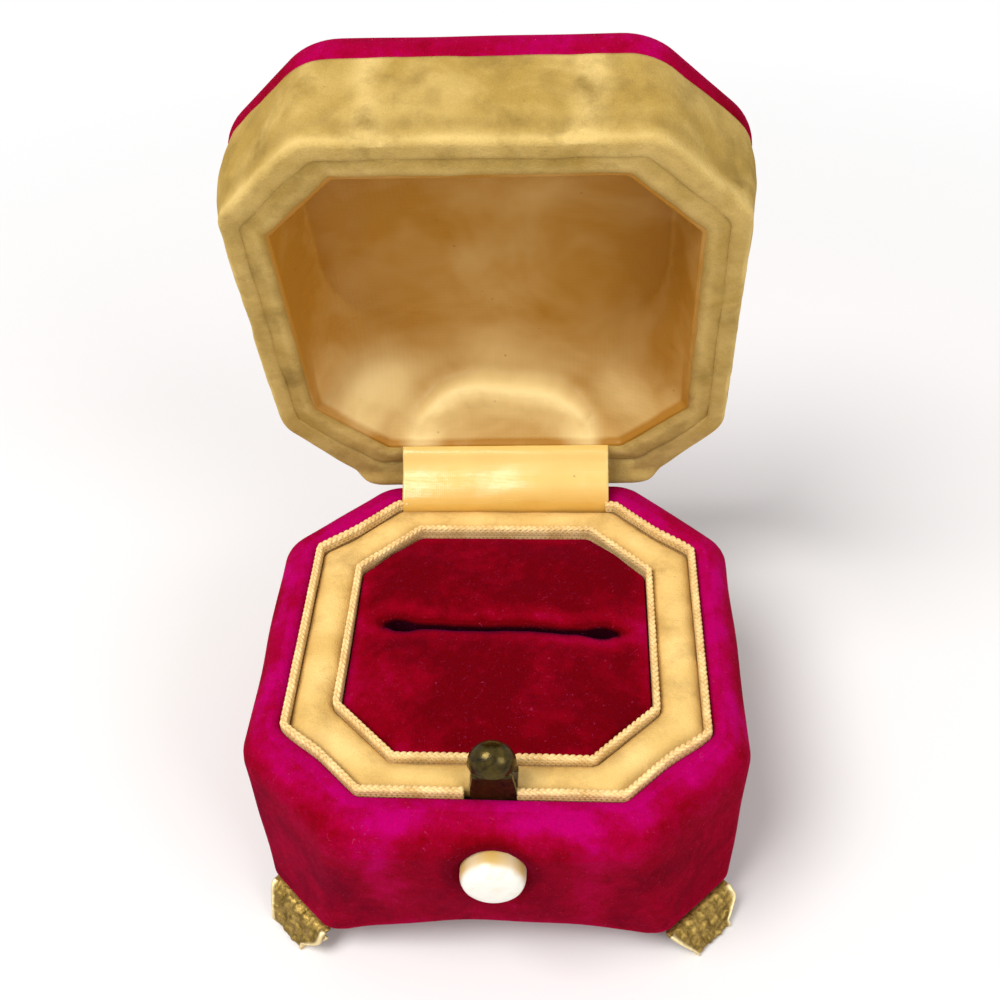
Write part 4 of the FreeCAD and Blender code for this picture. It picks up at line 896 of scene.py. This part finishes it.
def lidCollarVelvet():
    # inner band: out of the crease, over a soft lip at the rim and in through the mouth
    d = lid
    mouthHalf, mouthLeg = d["mouth"]
    lipAngle = np.radians(np.linspace(0, 180, 20))
    lip = (d["crease"] + 0.1 - mouthHalf) / 2
    collarHalf, collarHigh = np.array(d["collarRings"]).T
    over = np.sin(lipAngle)
    roll = np.where(lipAngle < np.pi / 2, 24.63 - 0.09 * over, 24.54 + 0.75 * (1 - over))
    half = np.concatenate([[d["crease"]], mouthHalf + lip + lip * np.cos(lipAngle), collarHalf])[:, None]
    high = np.concatenate([[24.85], roll, collarHigh])[:, None]
    leg = mouthLeg + 0.36 * (half[:, 0] - mouthHalf)
    bend = np.concatenate([[1.8], np.linspace(1.8, 1.0, 20), np.full(6, 1.0)])
    grid = lidRings(half[:, 0], leg, high, bend, turn=7)[0]
    soft = np.concatenate([[0], np.ones(20), np.zeros(6)])[:, None]
    grid[..., 2] += soft * (0.10 * waves(grid, 7, 51) + 0.04 * waves(grid, 2.5, 53))
    # paler along the lip; painted shade at the crease and up inside the mouth, a painted shadow line at the
    # mouth's edge, and cloudy grime
    napSheenShade = 0.25 + 0.30 * bell(half, 23.6, 0.5) + 0 * grid[..., 0]
    grimeAndShade = 0.15 * bell(half, 25.1, 0.25) + 0.45 * smooth(25.6, 27.2, high)
    grimeAndShade = grimeAndShade + 0.35 * smooth(0.1, 1.0, waves(grid, 6, 52)) + 0.25 * bell(half, 22.75, 0.2)
    piece = makePiece("lidCollarVelvet", [swingOpen(grid)], closedRows=True, closedColumns=True,
                      values={"pile": napSheenShade, "grimeAndShade": np.clip(grimeAndShade, 0, 0.85)}, flip=True)
    return dress(piece, finishes["lidVelvet"], "lid", "cream_velvet", "lid_collar_velvet")


def crownVelvet():
    # padded top: rings up a rounded edge and in over a low crown to the middle
    d = lid
    edge = np.radians(np.linspace(-35, 90, 18))
    crownHalf, crownLeg = d["crown"][0] + 0.1, d["crown"][1]
    roundEdge = 2.6
    inner = np.linspace(crownHalf - roundEdge - 0.3, 0.6, 40)
    half = np.concatenate([[26.2, 27.4], crownHalf - roundEdge * (1 - np.cos(edge)), inner])
    leg = np.maximum(crownLeg - 0.586 * (crownHalf - half), 0.38 * half)
    arc = (np.sin(edge) - np.sin(edge[0])) / (1 - np.sin(edge[0]))
    high = np.concatenate([[d["top"] - 0.25] * 2, d["top"] - 0.2 + (d["peak"] - d["top"] - 0.15) * arc,
                           d["peak"] - 0.35 + 0.35 * smooth(inner[0], 10, inner)])
    grid, out = lidRings(half, leg, high, np.minimum(7.2, 0.6 * half))
    soft = np.concatenate([[0, 0], np.linspace(0, 1, 18), np.ones(40)])[:, None]
    grid[..., 2] += soft * (0.12 * waves(grid, 14, 61) - 0.08)
    # painted sheen: the crown is painted bright, less so at the corners of its rounded edge and towards the
    # middle, with soft clouds
    slant = bell(np.abs(out[..., 0]) - np.abs(out[..., 1]), 0, 0.45)
    napSheenShade = 0.78 - 0.35 * slant * smooth(24, 27, half)[:, None] - 0.15 * smooth(27.0, 20.0, half)[:, None]
    napSheenShade = napSheenShade + 0.2 * waves(grid, 16, 62)
    piece = makePiece("crownCushion", [swingOpen(grid)], closedColumns=True, caps=("first", "last"),
                      values={"pile": napSheenShade})
    dress(piece, finishes["pink"], "lid", "pink_velvet", "lid_top_velvet", "lid_top_wadding")
    return piece


def thicken(piece, thickness, side):
    # gives an open sheet its cloth thickness in mm, to one side of it (1) or half to each (0)
    cloth = piece.modifiers.new("clothThickness", "SOLIDIFY")
    cloth.thickness, cloth.offset = thickness * mm, side


# arch and puffs are middle x and y, half width, half depth and rise, all in the lid as it lies shut
satin = dict(mouth=22.45, leg=7.84, low=25.1, ceiling=32.9, steep=2.6, slack=11.5,
             lip=(25.25, 25.1, 25.02, 25.08), arch=(-0.5, 23.4, 11.2, 6.4, 1.7),
             puffs=((-15.5, 17.5, 7.0, 6.5, 0.8), (15.5, 17.5, 6.5, 5.6, 0.55)), pull=0.5, ripple=0.07,
             thick=0.12)


def satinLining():
    # a pan: rings from the lip of the mouth in to the middle. Its height is a quarter sine from lip to
    # ceiling that takes a short way in on three sides and a long one near the hinge, where the cloth is
    # slack and stands in an arched fold between two soft puffs
    d = satin
    inward = np.concatenate([
        [-0.75, -0.40, -0.12, 0.0], np.linspace(0.02, 2.6, 30), np.linspace(2.75, 22.0, 110)])
    wall = slice(4, 34)
    half = d["mouth"] - inward
    leg = np.maximum(d["leg"] - 0.586 * inward, 0.34 * half)
    bend = np.minimum(1.0 + 1.1 * np.maximum(0, inward), 0.56 * half)
    inward = inward[:, None]
    ring, ways = octagonRings(half, leg, bend, flat=90, cut=34, turn=9)
    toHinge = smooth(-0.1, 0.95, ring[..., 1] / np.maximum(half, 4)[:, None])
    width = d["steep"] + (d["slack"] - d["steep"]) * toHinge
    climb = np.sin(np.clip(np.maximum(inward, 0) / width, 0, 1) * np.pi / 2) ** 0.85
    high = d["low"] + (d["ceiling"] - d["low"]) * climb
    high[:len(d["lip"])] = np.array(d["lip"])[:, None]
    grid = atHeight(ring, high)
    x, y = ring[..., 0], ring[..., 1]
    loose = smooth(0.1, 3.5, inward)
    px, py, wide, deep, tall = d["arch"]
    across = np.sqrt(((x - px) / wide) ** 2 + ((py - y) / deep) ** 2) + 0.04 * np.sin(0.5 * x + 1)
    near = smooth(3, 7, y)
    fold = bell(across, 1, np.where(across < 1, 0.30, 0.15)) * near
    rise = tall * fold + 0.22 * bell(across, 0.52, 0.10) * near
    swell = np.zeros_like(x)
    for px, py, wide, deep, tall in d["puffs"]:
        swell += tall * np.clip(1 - ((x - px) / wide) ** 2 - ((y - py) / deep) ** 2, 0, 1) ** 1.6
    fan = np.arctan2(x, 30 - y)
    spokes = 0.06 * np.sin(34 * fan + 1.5 * waves(grid, 11, 75)) + 0.02 * np.sin(71 * fan + 2)
    pleats = smooth(9, 17, y) * spokes
    tight = 0.16 * waves(grid, 13, 71) + 0.05 * waves(grid, 5, 72)
    grid[..., 2] -= loose * (rise + swell + pleats) + smooth(0.3, 5, inward) * tight
    grid[..., 1] -= loose * d["pull"] * (rise + swell) * toHinge
    # faint upright ripples in the wall of the pan
    ripple = d["ripple"] * np.sin(1.7 * (x + y) + 3 * waves(grid, 9, 73)) * loose * (1 - loose) * 4
    grid[wall, :, :2] -= (ways * ripple[..., None])[wall]
    # painted light in the amber value: deeper as painted shade towards the far side and the sides of the
    # ceiling, paler towards the hinge; painted highlights make the fold and the puffs pale, and a painted
    # shadow darkens just past the fold's crest
    amber = 0.92 + 0.10 * smooth(0, -18, y) + 0.08 * np.abs(x) / 20 - 0.30 * smooth(5, 16, y)
    amber -= 0.72 * fold + 0.35 * smooth(0.1, 0.7, swell) - 0.08 * bell(across, 1.36, 0.15) * near
    # a paler patch towards the middle of the ceiling; a painted shadow line deepens the amber at the lip of
    # the mouth, and it is a little deeper inside the arch
    amber = amber + 0.05 * waves(grid, 9, 74) - 0.18 * np.exp(-((x - 2) / 9) ** 2 - ((y + 14) / 5) ** 2)
    amber = amber + 0.4 * smooth(0.6, 0.1, inward) + 0.08 * smooth(0.8, 0.5, across) * near
    piece = makePiece("satinLiningPan", [swingOpen(grid)], closedColumns=True, caps=("last",),
                      values={"amber": np.clip(amber, 0, 1)}, flip=True)
    thicken(piece, d["thick"], 1.0)
    dress(piece, finishes["lining"], "lid", "gold_satin", "lid_satin_lining", "lid_lining_wadding")
    return piece


lidSideVelvet()
lidCollarVelvet()
crownVelvet()
satinLining()
print("lid made")

ribbon = dict(half=13.0, thick=0.16, bow=0.7, crease=0.03,
              points=((21.6, 23.0), (21.45, 24.0), (21.8, 25.1), (23.1, 26.3), (24.6, 27.2), (25.7, 28.3),
                      (26.1, 29.3), (27.2, 29.75)))


def hingeRibbon():
    # a smooth line through the section points (y, z), widened to both sides, with a slight twist and a fine
    # crease
    d = ribbon
    points = np.array(d["points"])
    lengths = runLengths(points)
    run = np.linspace(0, lengths[-1], 70)
    line = pointsAlong(points, lengths, run)
    weights = np.hanning(15)
    weights /= weights.sum()
    line = evened(np.concatenate([np.repeat(line[:1], 7, 0), line, np.repeat(line[-1:], 7, 0)]), weights)
    across = np.linspace(-1, 1, 90)
    share = (run / run[-1])[:, None]
    grid = np.empty((len(run), len(across), 3))
    grid[..., 0] = across * d["half"]
    grid[..., 1:] = line[:, None]
    free = d["bow"] * smooth(0.12, 0.35, share)
    twist = 0.25 * np.sin(2.2 * across + 0.5) + 0.10 * np.sin(7 * across) - 0.12 * across
    bow = np.sin(np.pi * share) * twist
    crease = -d["crease"] * bell(across, 0.42 * (1 + 0.1 * np.sin(9 * share)), 0.012)
    grid[..., 1] -= free * (bow + crease)
    grid[..., 2] += free * bow
    amber = np.clip(0.15 + 0.7 * smooth(0.55, 0.2, share) + 0 * across, 0, 1)
    piece = makePiece("hingeRibbonSatin", [grid], values={"amber": amber})
    thicken(piece, d["thick"], 0.0)
    piece.data.materials.append(finishes["ribbon"])
    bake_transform(piece)
    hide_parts("hinge_ribbon")
    return piece


hingeRibbon()
print("ribbon made")

# CAD nodes that keep their own shape, and the finish of each
cadFinishes = {
    **dict.fromkeys(["base_shell", "lid_shell"], "wood"), "base_bottom_lining": "pink",
    **dict.fromkeys(["tray_card", "ring_pad_board", "lid_top_board", "lid_collar"], "card"),
    **dict.fromkeys([
        "base_hinge_leaf", "lid_hinge_leaf", "hinge_pin", "hinge_spring", "base_hinge_screws",
        "lid_hinge_screws", "bracket_screws", "catch_bracket", "catch_pivot_pin", "catch_spring", "foot_nails",
        "keeper_nails", "button_stem", "stem_washer"], "brass"),
    "ring_pad_wadding": "wadding", "lid_keeper": "darkBrass", "button_ferrule": "ferrule"}
for label, finish in cadFinishes.items():
    slots = nodes[label].material_slots
    if not slots:
        nodes[label].data.materials.append(finishes[finish])
    for place in slots:
        place.material = finishes[finish]
print("CAD pieces finished:", len(cadFinishes))

# each lamp is its name, place in metres, width, power and tint; aim is what both point at
studio = dict(
    floor=(0.80, 0.785, 0.79), reach=3.0, nearFade=0.10, farFade=0.22, room=(1.0, 0.99, 0.97),
    roomStrength=0.48,
    lamps=(("windowLight", (-0.35, -0.25, 0.75), 0.5, 6.6, (1.0, 0.99, 0.97)),
           ("fillLight", (0.55, -0.45, 0.45), 0.5, 2.4, (1, 1, 1))), aim=(0, 0, 0.03))
# where the camera stands, in millimetres, and the ways of its right side and its top
view = dict(place=(9.391, -100.13, 134.007), right=(0.99811, 0.0419, -0.04496),
            up=(0.00563, 0.66618, 0.74577), lens=46.8, sensor=36.0)


def studioFloor():
    # a pale floor round the box that turns to plain white further out
    d = studio
    mesh = bpy.data.meshes.new("studioFloor")
    reach = d["reach"]
    mesh.from_pydata([(-reach, -reach, 0), (reach, -reach, 0), (reach, reach, 0), (-reach, reach, 0)], [],
                     [(0, 1, 2, 3)])
    floor = bpy.data.objects.new("studioFloor", mesh)
    bpy.context.scene.collection.objects.link(floor)
    finish, shader = newFinish("paleFloor", roughness=0.95, specular=0.0)
    shader.inputs["Base Color"].default_value = (*d["floor"], 1)
    where = node(finish, "TexCoord").outputs["Object"]
    away = node(finish, "VectorMath", {0: where}, operation="LENGTH").outputs["Value"]
    seen = node(finish, "LightPath").outputs["Is Camera Ray"]
    share = combine(finish, "MULTIPLY", spread(finish, away, d["nearFade"], d["farFade"]), seen)
    white = node(finish, "Emission", {"Color": (1, 1, 1, 1), "Strength": 1.0}).outputs[0]
    mix = node(finish, "MixShader", {0: share, 1: shader.outputs[0], 2: white}).outputs[0]
    link(finish, mix, finish.node_tree.nodes["Material Output"].inputs["Surface"])
    floor.data.materials.append(finish)


def studioWorld():
    # a dim pale room that the camera and shiny things see as plain white
    world = bpy.data.worlds.new("paleRoom")
    world.use_nodes = True
    world.node_tree.nodes.clear()
    rays = node(world, "LightPath").outputs
    seen = combine(world, "MAXIMUM", rays["Is Camera Ray"], rays["Is Glossy Ray"])
    seen = combine(world, "MAXIMUM", seen, rays["Is Transmission Ray"])
    room = node(world, "Background", {"Color": (*studio["room"], 1),
                                      "Strength": studio["roomStrength"]}).outputs[0]
    white = node(world, "Background", {"Color": (1, 1, 1, 1), "Strength": 1.0}).outputs[0]
    mix = node(world, "MixShader", {0: seen, 1: room, 2: white}).outputs[0]
    node(world, "OutputWorld", {"Surface": mix})
    bpy.context.scene.world = world


def softLamp(name, place, width, power, tint):
    # a round lamp, width metres across, turned towards the box
    data = bpy.data.lights.new(name, "AREA")
    data.shape, data.size, data.energy, data.color = "DISK", width, power, tint
    lamp = bpy.data.objects.new(name, data)
    lamp.location = place
    lamp.rotation_euler = (Vector(studio["aim"]) - Vector(place)).to_track_quat("-Z", "Y").to_euler()
    bpy.context.scene.collection.objects.link(lamp)


def boxCamera():
    # a camera at view's place, whose axes are its right, its up and the way back from the box
    data = bpy.data.cameras.new("camera")
    data.sensor_width, data.lens = view["sensor"], view["lens"]
    data.clip_start, data.clip_end = 0.01, 20
    camera = bpy.data.objects.new("camera", data)
    right, up = Vector(view["right"]), Vector(view["up"])
    axes = Matrix((right, up, right.cross(up))).transposed().to_4x4()
    camera.matrix_world = Matrix.Translation(Vector(view["place"]) * mm) @ axes
    bpy.context.scene.collection.objects.link(camera)
    bpy.context.scene.camera = camera


studioFloor()
studioWorld()
for lamp in studio["lamps"]:
    softLamp(*lamp)
boxCamera()
bpy.context.scene.view_settings.view_transform = "Standard"
print("room, lamps and camera made")
